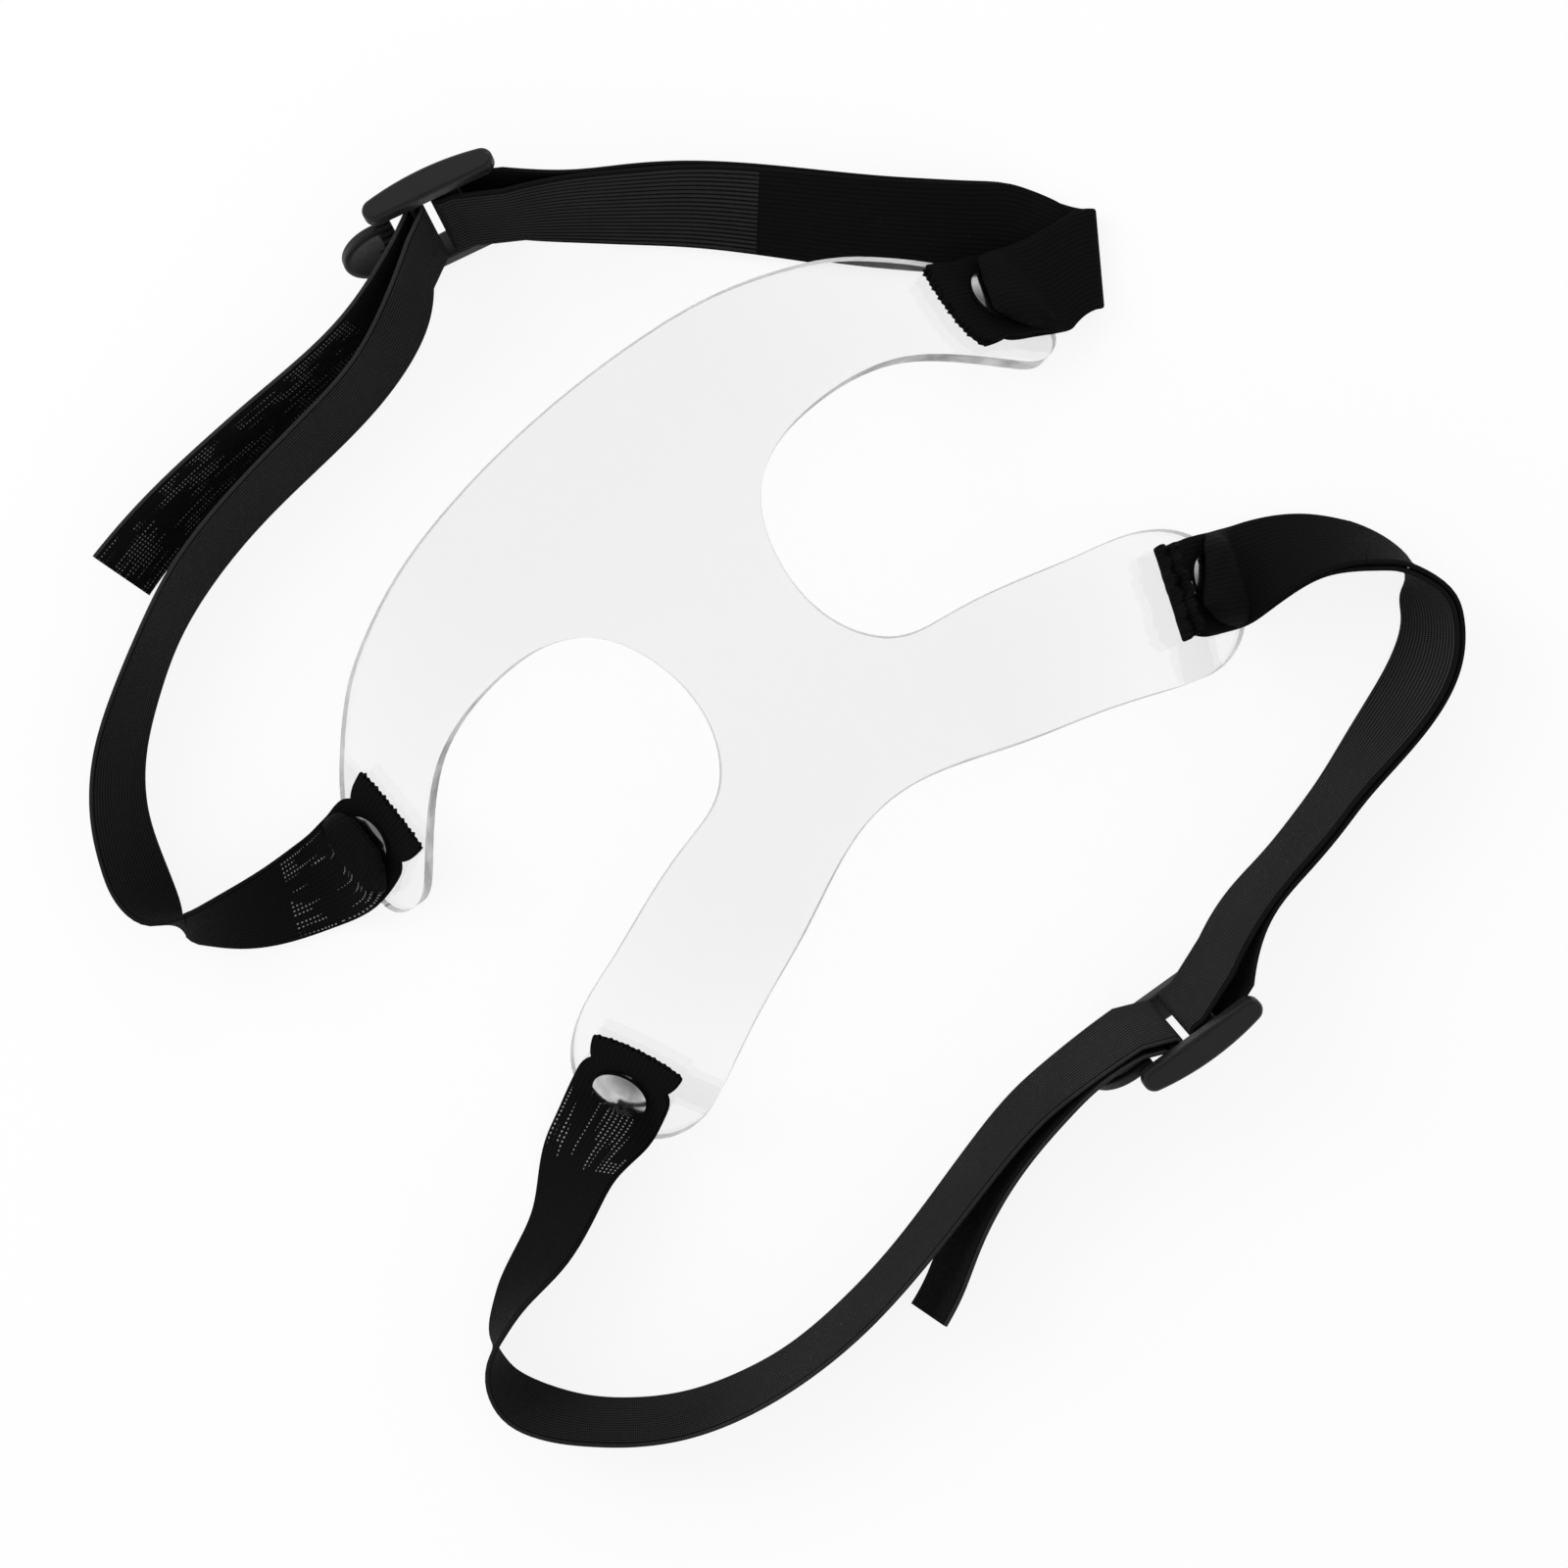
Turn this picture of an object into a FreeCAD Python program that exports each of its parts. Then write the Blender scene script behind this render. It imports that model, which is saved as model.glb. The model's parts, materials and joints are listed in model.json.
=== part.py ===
import FreeCAD, Part
import math
import os

# Clear nose guard face mask lying on its back with both head straps folded flat
# Origin on the resting plane under the nose bridge, X from tip to tip, Y toward the forehead, Z up
# Lengths in millimetres, angles in degrees

# Plate
plate_half_width = 96.8
plate_top = 73.7
plate_thickness = 3.0
plate_bend_radius = 128.0
tip_clearance = 0.036
forehead_slope_share = 0.12
cheek_drop = 2.44
cheek_drop_start_share = 0.06784
cheek_drop_reach_share = 0.27137
cheek_drop_side_share = 0.84711
slab_margin = 9.0
wall_overrun = 1.5

# Rivets, placed as shares of the plate's half width and top
temple_rivet_share = (0.91632, 0.42062)
cheek_rivet_share = (0.85021, -0.62008)
cap_radius = 6.3
cap_edge = 0.8
cap_dome = 1.9
shank_radius = 2.0
shank_bore_radius = 1.3
post_disc_radius = 6.0
post_disc_thickness = 1.0
fit_clearance = 0.05
hole_clearance = 0.3
seat_gap = 0.3

# Elastic straps; headings at a rivet run along the ribbon, then from its lower to its upper edge
strap_width = 22.0
strap_thickness = 1.2
ply_gap = 0.3
foot_clearance = 0.3
strap_end_inboard = 8.5
strap_end_outboard = 4.2
cheek_end_outboard = 5.0
upper_reach = 91.0
lower_reach = 70.0
upper_adjust_headings = (188.0, 88.0)
upper_fixed_headings = (-25.0, 84.0)
lower_adjust_headings = (203.0, -67.0)
lower_fixed_headings = (-25.0, -114.0)
fold_radius = 1.8
fold_height = 3.5
bend_radius = 1.0
loop_radius = 1.6

# Ladder buckles
rail_thickness = 3.5
rail_clearance = 0.4
rail_half_length = 15.2
rail_depth = 6.8
rail_end_radius = 2.7
rail_back = 0.7
bar_height = 2.4
fixed_bar_start = 0.6
fixed_bar_width = 5.4
middle_bar_start = 4.2
middle_bar_width = 1.8
grip_bar_start = 10.6
grip_bar_width = 3.4
tooth_depth = 0.7
tooth_count = 9
tooth_share = 0.55
tab_reach = 24.0
tab_width = 18.0
tab_thickness = 2.4
tab_dish_depth = 0.9
tab_rim = 1.4
buckle_foot_clearance = 0.5
upper_buckle_lean = 67.0
lower_buckle_lean = 67.0
upper_buckle_heading = -15.5
lower_buckle_heading = -5.2
upper_load_angle = 44.0
lower_load_angle = 24.0
upper_fixed_angle = 22.0
lower_fixed_angle = 25.0
fixed_leave = 14.0
load_leave = 8.0

# Half outline of the plate, from the forehead to the chin, as shares of half width and top
plate_outline_share = (
    (0.310, 0.969),
    (0.465, 0.932),
    (0.620, 0.863),
    (0.723, 0.794),
    (0.804, 0.711),
    (0.913, 0.566),
    (0.971, 0.448),
    (1.000, 0.299),
    (0.987, 0.210),
    (0.940, 0.185),
    (0.868, 0.244),
    (0.775, 0.360),
    (0.682, 0.448),
    (0.579, 0.495),
    (0.455, 0.510),
    (0.341, 0.491),
    (0.243, 0.415),
    (0.181, 0.271),
    (0.163, 0.109),
    (0.189, -0.041),
    (0.263, -0.156),
    (0.382, -0.201),
    (0.537, -0.254),
    (0.682, -0.315),
    (0.832, -0.384),
    (0.918, -0.488),
    (0.940, -0.638),
    (0.888, -0.795),
    (0.785, -0.841),
    (0.646, -0.783),
    (0.486, -0.691),
    (0.320, -0.611),
    (0.176, -0.533),
    (0.052, -0.488),
)

# Strap routes: place across and away from the rivets, lift of the lower edge,
# then heading and lean of the ribbon from its lower to its upper edge in degrees
# Lifts are shares of the rivet's height in the descents, of the fold's height on the way over to it
# and of the ribbon's width elsewhere
upper_adjust_descent_share = (
    (-1.091, -0.010, 0.5466, 84, 5),
    (-1.139, -0.005, 0.1791, 76, 17),
)
upper_adjust_route_share = (
    (-1.201, 0.009, 0.000, 66, 27),
    (-1.285, 0.029, 0.000, 56, 37),
    (-1.364, 0.058, 0.000, 48, 48),
    (-1.432, 0.095, 0.000, 40, 61),
    (-1.480, 0.132, 0.000, 24, 75),
    (-1.506, 0.174, 0.000, 160, 80),
    (-1.511, 0.231, 0.000, 152, 65),
    (-1.484, 0.320, 0.000, 140, 60),
    (-1.426, 0.434, 0.000, 139, 65),
    (-1.336, 0.536, 0.000, 140, 69),
    (-1.206, 0.624, 0.000, 141, 72),
    (-1.067, 0.696, 0.000, 130, 75),
    (-0.918, 0.751, 0.000, 118, 73),
    (-0.676, 0.793, 0.000, 111, 71),
    (-0.428, 0.811, 0.000, 108, 69),
    (-0.256, 0.830, 0.077, 110, 69),
    (-0.129, 0.866, 0.214, 112, 68),
)
upper_tail_route_share = (
    (-1.039, 0.865, 0.000, 100, 58),
    (-0.843, 0.897, 0.000, 101, 62),
    (-0.676, 0.908, 0.000, 102, 64),
    (-0.496, 0.912, 0.000, 103, 66),
    (-0.307, 0.914, 0.032, 106, 68),
    (-0.158, 0.926, 0.168, 108, 68),
)
upper_fixed_over_route_share = (
    (1.103, -0.042, 1.370, 82, 1),
    (1.150, -0.062, 1.144, 75, 2),
    (1.218, -0.084, 0.943, 64, 1),
)
upper_fixed_fold_share = (1.271, -0.079)
upper_fixed_fold_heading = 54.0
upper_fixed_return_route_share = (
    (1.227, -0.022, 0.000, 50, 2),
    (1.184, 0.062, 0.000, 49, 3),
    (1.149, 0.105, 0.000, 47, 11),
    (1.109, 0.143, 0.000, 46, 21),
    (1.023, 0.225, 0.000, 46, 29),
    (0.936, 0.310, 0.000, 46, 32),
    (0.771, 0.484, 0.000, 46, 38),
    (0.602, 0.652, 0.000, 47, 45),
    (0.492, 0.742, 0.014, 46, 51),
    (0.378, 0.826, 0.123, 48, 58),
)
lower_fixed_descent_share = (
    (1.112, 0.056, 0.2952, -116, 16),
    (1.173, 0.073, 0.1546, -119, 28),
    (1.239, 0.097, 0.0495, -123, 40),
)
lower_fixed_route_share = (
    (1.312, 0.139, 0.000, -129, 51),
    (1.382, 0.216, 0.000, -140, 62),
    (1.436, 0.309, 0.000, -158, 73),
    (1.458, 0.394, 0.000, 170, 84),
    (1.450, 0.469, 0.000, -46, 74),
    (1.418, 0.546, 0.000, -48, 66),
    (1.341, 0.629, 0.000, -56, 60),
    (1.203, 0.696, 0.000, -66, 59),
    (1.068, 0.733, 0.000, -72, 65),
    (0.940, 0.766, 0.000, -74, 71),
    (0.830, 0.794, 0.000, -73, 72),
    (0.704, 0.819, 0.009, -72, 73),
    (0.565, 0.840, 0.123, -78, 71),
)
lower_adjust_descent_share = (
    (-1.115, 0.054, 0.3308, -64, 14),
    (-1.179, 0.076, 0.1901, -56, 25),
    (-1.252, 0.113, 0.0634, -43, 38),
)
lower_adjust_route_share = (
    (-1.330, 0.167, 0.000, -34, 46),
    (-1.419, 0.213, 0.000, -31, 47),
    (-1.516, 0.250, 0.000, -29, 52),
    (-1.610, 0.281, 0.000, -22, 66),
    (-1.684, 0.324, 0.000, -8, 77),
    (-1.729, 0.373, 0.000, 100, 87),
    (-1.753, 0.430, 0.000, 170, 79),
    (-1.757, 0.504, 0.000, -163, 71),
    (-1.723, 0.600, 0.000, -140, 68),
    (-1.652, 0.707, 0.000, -127, 70),
    (-1.560, 0.807, 0.000, -122, 71),
    (-1.439, 0.899, 0.000, -111, 72),
    (-1.296, 0.961, 0.000, -94, 73),
    (-1.142, 0.997, 0.000, -80, 74),
    (-0.961, 1.004, 0.000, -68, 73),
    (-0.778, 0.984, 0.000, -61, 73),
    (-0.576, 0.941, 0.000, -58, 72),
    (-0.377, 0.893, 0.009, -64, 71),
    (-0.219, 0.866, 0.100, -76, 70),
    (-0.097, 0.864, 0.205, -84, 69),
)
lower_tail_route_share = (
    (-0.791, 1.154, 0.000, -60, 72),
    (-0.717, 1.121, 0.000, -56, 72),
    (-0.608, 1.054, 0.000, -55, 72),
    (-0.468, 0.984, 0.000, -58, 72),
    (-0.316, 0.933, 0.055, -68, 71),
    (-0.182, 0.904, 0.145, -78, 70),
    (-0.073, 0.890, 0.236, -84, 69),
)
upper_buckle_place_share = (0.126, 0.978)
lower_buckle_place_share = (0.222, 0.947)

# Smoothness of the plate's skins and walls
skin_columns = 25
skin_rows = 19
wall_points = 240

temple_rivet_x = plate_half_width * temple_rivet_share[0]
temple_rivet_y = plate_top * temple_rivet_share[1]
cheek_rivet_x = plate_half_width * cheek_rivet_share[0]
cheek_rivet_y = plate_top * cheek_rivet_share[1]

# Bars: the fixed one lies beyond the buckle's middle, the other two on the tab side of it
fixed_bar_end = fixed_bar_start + fixed_bar_width
middle_bar_right = -middle_bar_start
middle_bar_left = middle_bar_right - middle_bar_width
grip_bar_left = -(grip_bar_start + grip_bar_width)
rail_inner = 0.5 * strap_width + rail_clearance
rail_outer = rail_inner + rail_thickness


def bendDrop(x):
    """Fall of the bent sheet at a distance from its middle line."""
    return plate_bend_radius - math.sqrt(plate_bend_radius ** 2 - x ** 2)


def bridgeHeight():
    """Height of the nose bridge when the inner face's tips touch the resting plane."""
    tip_y = plate_top * max(plate_outline_share)[1]
    upright = math.sqrt(1 - (plate_half_width / plate_bend_radius) ** 2)
    return bendDrop(plate_half_width) + forehead_slope_share * tip_y + plate_thickness * upright + tip_clearance


def plateHeight(x, y):
    """Height of the plate's outer face over the resting plane."""
    low = max(0.0, -y / plate_top - cheek_drop_start_share) / cheek_drop_reach_share
    side = x / plate_half_width / cheek_drop_side_share
    drop = cheek_drop * (low * side) ** 2
    return bridgeHeight() - bendDrop(x) - forehead_slope_share * y - drop


def plateTangent(x, y, heading):
    """Unit vector along the outer face in a plan heading."""
    step = 0.001 * plate_half_width
    dx = math.cos(math.radians(heading)) * step
    dy = math.sin(math.radians(heading)) * step
    rise = plateHeight(x + dx, y + dy) - plateHeight(x - dx, y - dy)
    return FreeCAD.Vector(2 * dx, 2 * dy, rise).normalize()


def plateNormal(x, y):
    return plateTangent(x, y, 0).cross(plateTangent(x, y, 90)).normalize()


def platePoint(x, y, out):
    """Point a given distance outside the outer face, square to it."""
    return FreeCAD.Vector(x, y, plateHeight(x, y)) + plateNormal(x, y) * out


def skin(out):
    """The plate's sheet at one depth, wider than the plate."""
    x_end = plate_half_width + slab_margin
    y_end = plate_top + slab_margin
    grid = []
    for i in range(skin_columns):
        x = x_end * (2.0 * i / (skin_columns - 1) - 1.0)
        column = []
        for j in range(skin_rows):
            y = y_end * (2.0 * j / (skin_rows - 1) - 1.0)
            column.append(platePoint(x, y, out))
        grid.append(column)
    surface = Part.BSplineSurface()
    surface.interpolate(grid)
    return surface.toShape()


def slab():
    """Thick bent sheet that the plate is cut from."""
    outer = skin(0.0)
    inner = skin(-plate_thickness)
    faces = [outer, inner]
    for outer_edge, inner_edge in zip(outer.Edges, inner.Edges):
        faces.append(Part.makeRuledSurface(outer_edge, inner_edge))
    shell = Part.makeShell(faces)
    shell.sewShape()
    return Part.Solid(shell)


def outlineCurve():
    """Closed plan outline, the half list mirrored across X."""
    half = [(plate_half_width * a, plate_top * b) for a, b in plate_outline_share]
    right = [FreeCAD.Vector(x, y, 0) for x, y in half]
    left = [FreeCAD.Vector(-x, y, 0) for x, y in reversed(half)]
    curve = Part.BSplineCurve()
    curve.interpolate(right + left, PeriodicFlag=True)
    return curve


def ruledFace(first, second):
    """Face ruled straight between two curves of the same parameters."""
    poles = [first.getPoles(), second.getPoles()]
    surface = Part.BSplineSurface()
    surface.buildFromPolesMultsKnots(poles, [2, 2], first.getMultiplicities(), [0.0, 1.0],
                                     first.getKnots(), False, False, 1, first.Degree)
    return surface.toShape()


def wallRing():
    """Ruled walls in quarters, square to the sheet all round the outline."""
    curve = outlineCurve()
    first = curve.FirstParameter
    step = (curve.LastParameter - first) / wall_points
    quarter = wall_points // 4
    faces = []
    for k in range(4):
        sides = []
        spots = [curve.value(first + step * i) for i in range(k * quarter, (k + 1) * quarter + 1)]
        for out in (wall_overrun, -plate_thickness - wall_overrun):
            side = Part.BSplineCurve()
            side.interpolate([platePoint(p.x, p.y, out) for p in spots], Parameters=list(range(quarter + 1)))
            sides.append(side)
        faces.append(ruledFace(sides[0], sides[1]))
    ring = Part.makeShell(faces)
    ring.sewShape()
    return ring


def rivetPlaces():
    return {
        "right_temple": (temple_rivet_x, temple_rivet_y, 2),
        "left_temple": (-temple_rivet_x, temple_rivet_y, 1),
        "right_cheek": (cheek_rivet_x, cheek_rivet_y, 2),
        "left_cheek": (-cheek_rivet_x, cheek_rivet_y, 1),
    }


def rivetCylinder(x, y, radius, low, high):
    """Cylinder square to the plate, between two depths from the outer face."""
    normal = plateNormal(x, y)
    return Part.makeCylinder(radius, high - low, platePoint(x, y, low), normal)


def facePlate():
    pieces = slab().generalFuse([wallRing()])[0].Solids
    plate = min(pieces, key=lambda s: s.BoundBox.XLength)
    for x, y, plies in rivetPlaces().values():
        hole = shank_radius + fit_clearance
        plate = plate.cut(rivetCylinder(x, y, hole, -2 * plate_thickness, plate_thickness))
    return plate


def stackHeight(plies):
    """Height of the strap's plies over the plate, with the gaps."""
    return seat_gap + plies * strap_thickness + (plies - 1) * ply_gap + seat_gap


def standOn(solid, x, y, out):
    """Place a solid made upright at the origin square to the plate."""
    turn = FreeCAD.Rotation(FreeCAD.Vector(0, 0, 1), plateNormal(x, y))
    solid.Placement = FreeCAD.Placement(platePoint(x, y, out), turn)
    return solid


def rivetCap(x, y, plies):
    """Domed cap with its hollow shank."""
    top = cap_edge + cap_dome
    shank = stackHeight(plies) + plate_thickness
    a = FreeCAD.Vector(0, 0, 0)
    b = FreeCAD.Vector(cap_radius, 0, 0)
    c = FreeCAD.Vector(cap_radius, 0, cap_edge)
    e = FreeCAD.Vector(0, 0, top)
    dome_radius = (cap_radius ** 2 + cap_dome ** 2) / (2 * cap_dome)
    half_turn = 0.5 * math.asin(cap_radius / dome_radius)
    d = FreeCAD.Vector(dome_radius * math.sin(half_turn), 0,
                       top - dome_radius * (1 - math.cos(half_turn)))
    dome = Part.Arc(c, d, e).toShape()
    edges = [Part.makeLine(a, b), Part.makeLine(b, c), dome, Part.makeLine(e, a)]
    head = Part.Face(Part.Wire(edges)).revolve(a, FreeCAD.Vector(0, 0, 1), 360)
    tube = Part.makeCylinder(shank_radius, shank, FreeCAD.Vector(0, 0, -shank))
    bore = Part.makeCylinder(shank_bore_radius, shank, FreeCAD.Vector(0, 0, -shank))
    return standOn(head.fuse(tube).cut(bore).removeSplitter(), x, y, stackHeight(plies))


def rivetPost(x, y, plies):
    """Flat disc on the face side with the pin that fills the shank."""
    length = plate_thickness + stackHeight(plies) - seat_gap
    disc = Part.makeCylinder(post_disc_radius, post_disc_thickness)
    rounded = 0.4 * post_disc_thickness
    disc = disc.makeFillet(rounded, [e for e in disc.Edges if e.BoundBox.ZMax < rounded])
    pin = Part.makeCylinder(shank_bore_radius - fit_clearance, length + post_disc_thickness)
    return standOn(disc.fuse(pin), x, y, -plate_thickness - seat_gap - post_disc_thickness)


def leanVector(heading, lean):
    a, b = math.radians(heading), math.radians(lean)
    return FreeCAD.Vector(math.cos(a) * math.cos(b), math.sin(a) * math.cos(b), math.sin(b))


def plateStations(x, y, headings, ends, plies):
    """Ribbon stations that lie on the plate along a plan heading from a rivet."""
    heading, across = headings
    out = 0.5 * stackHeight(plies)
    stations = []
    for distance in ends:
        px = x + distance * math.cos(math.radians(heading))
        py = y + distance * math.sin(math.radians(heading))
        stations.append((platePoint(px, py, out), plateTangent(px, py, across), plateNormal(px, py)))
    return stations


def routeStations(route, x, y, reach, plies, lift_base=strap_width):
    """Ribbon stations standing on the table with a lean."""
    stack = plies * strap_thickness + (plies - 1) * ply_gap
    stations = []
    for a, b, lift, heading, lean in route:
        along = leanVector(heading, lean)
        half = 0.5 * strap_width * along.z + 0.5 * stack * math.cos(math.radians(lean))
        z = foot_clearance + lift * lift_base + half
        stations.append((FreeCAD.Vector(abs(x) * a, y + reach * b, z), along, None))
    return stations


def foldFrame():
    """Centre, line and outward direction of the flat fold beyond the right temple."""
    a, b = upper_fixed_fold_share
    along = leanVector(upper_fixed_fold_heading, 0)
    out = FreeCAD.Vector(along.y, -along.x, 0)
    centre = FreeCAD.Vector(temple_rivet_x * a, temple_rivet_y + upper_reach * b, fold_height)
    return centre, along, out


def foldStations(side):
    """Two stations in line before the fold on top (side 1) or beneath it (side -1)."""
    centre, along, out = foldFrame()
    up = FreeCAD.Vector(0, 0, side)
    edge = centre + up * fold_radius
    return [(edge - out * fold_radius, along, up), (edge, along, up)]


def foldTurn(shift):
    """Half turn of one ply round the fold line."""
    centre, along, out = foldFrame()
    half_w = along * (0.5 * strap_width)
    up = FreeCAD.Vector(0, 0, 1)
    low = centre + up * (fold_radius + shift - 0.5 * strap_thickness)
    high = centre + up * (fold_radius + shift + 0.5 * strap_thickness)
    corners = [low - half_w, low + half_w, high + half_w, high - half_w]
    section = Part.Face(Part.makePolygon(corners + corners[:1]))
    return section.revolve(centre, along, 180)


def withNormals(stations):
    """Give each station its normal, kept on one face of the ribbon."""
    done = []
    last = len(stations) - 1
    for i, (centre, along, normal) in enumerate(stations):
        if normal is None:
            run = stations[min(i + 1, last)][0] - stations[max(i - 1, 0)][0]
            normal = along.cross(run)
            normal.normalize()
            if done and normal.dot(done[-1][2]) < 0:
                normal = -normal
        done.append((centre, along, normal))
    return done


def plyLoft(stations, shifts):
    """One ribbon ply: four corner curves through the stations, walls ruled between them."""
    half_w = 0.5 * strap_width
    half_t = 0.5 * strap_thickness
    rails = [[], [], [], []]
    lengths = []
    previous = None
    for (centre, along, normal), shift in zip(stations, shifts):
        middle = centre + normal * shift
        lengths.append(lengths[-1] + (middle - previous).Length if lengths else 0.0)
        previous = middle
        for rail, (s, t) in zip(rails, ((-1, -1), (1, -1), (1, 1), (-1, 1))):
            rail.append(middle + along * (s * half_w) + normal * (t * half_t))
    curves = []
    for rail in rails:
        curve = Part.BSplineCurve()
        curve.interpolate(rail, Parameters=lengths)
        curves.append(curve)
    faces = [ruledFace(curves[k - 1], curves[k]) for k in range(4)]
    for k in (0, -1):
        corners = [rail[k] for rail in rails]
        faces.append(Part.Face(Part.makePolygon(corners + corners[:1])))
    shell = Part.makeShell(faces)
    shell.sewShape()
    solid = Part.Solid(shell)
    return solid if solid.Volume > 0 else solid.reversed()


def buckleFrame(heading, lean, place_share, x, y, reach, side):
    """Origin on the bars' inner face, then the rail, width and outward directions."""
    u = leanVector(heading, 0)
    level_out = FreeCAD.Vector(-u.y, u.x, 0) * side
    b = math.radians(lean)
    up = FreeCAD.Vector(0, 0, 1)
    w = level_out * math.sin(b) - up * math.cos(b)
    along = level_out * math.cos(b) + up * math.sin(b)
    z = buckle_foot_clearance + rail_outer * math.sin(b) + (rail_depth - rail_back) * math.cos(b)
    origin = FreeCAD.Vector(x * place_share[0], y + reach * place_share[1], z)
    return origin, u, along, w


def inFrame(frame, u, w):
    origin, u_axis, along, w_axis = frame
    return origin + u_axis * u + w_axis * w


def sideEdges(points, radius, shift):
    """One side of a bent strip: straight runs and arcs beside the centre line."""
    edges = []
    previous = None
    count = len(points)
    for i in range(count):
        p = points[i]
        if i in (0, count - 1):
            run = (points[1] - p) if i == 0 else (p - points[i - 1])
            run.normalize()
            spot = p + FreeCAD.Vector(-run.z, 0, run.x) * shift
            if previous:
                edges.append(Part.makeLine(previous, spot))
            previous = spot
            continue
        before = (p - points[i - 1]).normalize()
        after = (points[i + 1] - p).normalize()
        turn = math.copysign(1.0, before.x * after.z - before.z * after.x)
        angle = before.getAngle(after)
        back = radius * math.tan(0.5 * angle)
        start = p - before * back
        end = p + after * back
        centre = start + FreeCAD.Vector(-before.z, 0, before.x) * (turn * radius)
        middle = centre + (p - centre).normalize() * radius
        grow = (radius - turn * shift) / radius
        spots = [centre + (q - centre) * grow for q in (start, middle, end)]
        if previous:
            edges.append(Part.makeLine(previous, spots[0]))
        edges.append(Part.Arc(spots[0], spots[1], spots[2]).toShape())
        previous = spots[2]
    return edges


def bentStrip(frame, path, radius):
    """Strap stretch bent through a buckle, drawn in its rail and outward directions."""
    points = [FreeCAD.Vector(u, 0, w) for u, w in path]
    half = 0.5 * strap_thickness
    left = sideEdges(points, radius, half)
    right = sideEdges(points, radius, -half)
    caps = []
    for k in (0, -1):
        a = left[k].Vertexes[k].Point
        b = right[k].Vertexes[k].Point
        caps.append(Part.makeLine(a, b))
    wire = Part.Wire(Part.__sortEdges__(left + right + caps))
    solid = Part.Face(wire).extrude(FreeCAD.Vector(0, strap_width, 0))
    solid.translate(FreeCAD.Vector(0, -0.5 * strap_width, 0))
    return placed(solid, frame)


def placed(solid, frame):
    """Move a solid from the buckle's own directions to its place."""
    origin, u, along, w = frame
    turn = FreeCAD.Rotation(u, w.cross(u), w, "ZXY")
    solid.Placement = FreeCAD.Placement(origin, turn).multiply(solid.Placement)
    return solid


def fixedLoop(frame, angle):
    """Strap round the fixed bar, with the station where its two plies run on."""
    run_off = 0.5 * strap_thickness + ply_gap
    low = -run_off
    high = bar_height + run_off
    left = fixed_bar_start - run_off
    turn_low = 0.5 * (fixed_bar_start + fixed_bar_end)
    turn_high = fixed_bar_end + run_off
    slope = math.tan(math.radians(angle))
    lean = FreeCAD.Vector(math.cos(math.radians(angle)), -math.sin(math.radians(angle)), 0)
    inner_end = (fixed_leave, low - (fixed_leave - turn_low) * slope)
    gap_line = (high - low) + (turn_high - turn_low) * slope
    spread = 0.5 * gap_line * lean.x
    outer_end = (inner_end[0] + 2 * spread * -lean.y, inner_end[1] + 2 * spread * lean.x)
    path = [inner_end, (turn_low, low), (left, low), (left, high), (turn_high, high), outer_end]
    loop = bentStrip(frame, path, loop_radius)
    middle = inFrame(frame, 0.5 * (inner_end[0] + outer_end[0]), 0.5 * (inner_end[1] + outer_end[1]))
    normal = frame[1] * -lean.y + frame[3] * lean.x
    return loop, (middle, frame[2], normal), spread


def adjustBend(frame, angle):
    """Strap over the middle bar, with the stations of its load and tail plies."""
    run_off = 0.5 * strap_thickness + ply_gap
    cosine = math.cos(math.radians(angle))
    sine = math.sin(math.radians(angle))
    high = bar_height + run_off
    right = middle_bar_right + run_off
    left = middle_bar_left - run_off
    load_turn = (right, -run_off)
    tail_turn = (left, 0.0)
    load_end = (load_turn[0] - load_leave * cosine, load_turn[1] - load_leave * sine)
    to_tail = (tail_turn[0] - load_end[0], tail_turn[1] - load_end[1])
    off = -to_tail[0] * sine + to_tail[1] * cosine
    tail_end = (load_end[0] - off * sine, load_end[1] + off * cosine)
    path = [load_end, load_turn, (right, high), (left, high), tail_turn, tail_end]
    bend = bentStrip(frame, path, bend_radius)
    normal = frame[3] * cosine - frame[1] * sine
    load = (inFrame(frame, load_end[0], load_end[1]), frame[2], normal)
    tail = (inFrame(frame, tail_end[0], tail_end[1]), frame[2], normal)
    return bend, load, tail


def rivetHole(strap, x, y, plies):
    radius = shank_radius + hole_clearance
    return strap.cut(rivetCylinder(x, y, radius, -stackHeight(plies), 2 * stackHeight(plies)))


def fixedStrap(runs, loop_end, x, y):
    """Doubled strap: two plies from the rivet to the buckle, joined round its bar."""
    loop, station, spread = loop_end
    close = 0.5 * (strap_thickness + ply_gap)
    plies = []
    for side in (1, -1):
        for run in runs[:-1]:
            stations = withNormals(run)
            plies.append(plyLoft(stations, [side * close] * len(stations)))
            plies.append(foldTurn(side * close))
        stations = withNormals(runs[-1] + [station])
        shifts = [side * close] * len(runs[-1]) + [side * spread]
        plies.append(plyLoft(stations, shifts))
    return rivetHole(loop.fuse(plies), x, y, 2)


def adjustStrap(ribbon, tail_route, bend_end, x, y):
    """Single strap: load ply from the rivet, over the middle bar, and its free tail."""
    bend, load, tail = bend_end
    load_stations = withNormals(ribbon + [load])
    tail_stations = list(reversed(withNormals([tail] + list(reversed(tail_route)))))
    load_ply = plyLoft(load_stations, [0.0] * len(load_stations))
    tail_ply = plyLoft(tail_stations, [0.0] * len(tail_stations))
    return rivetHole(bend.fuse([load_ply, tail_ply]), x, y, 1)


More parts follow.
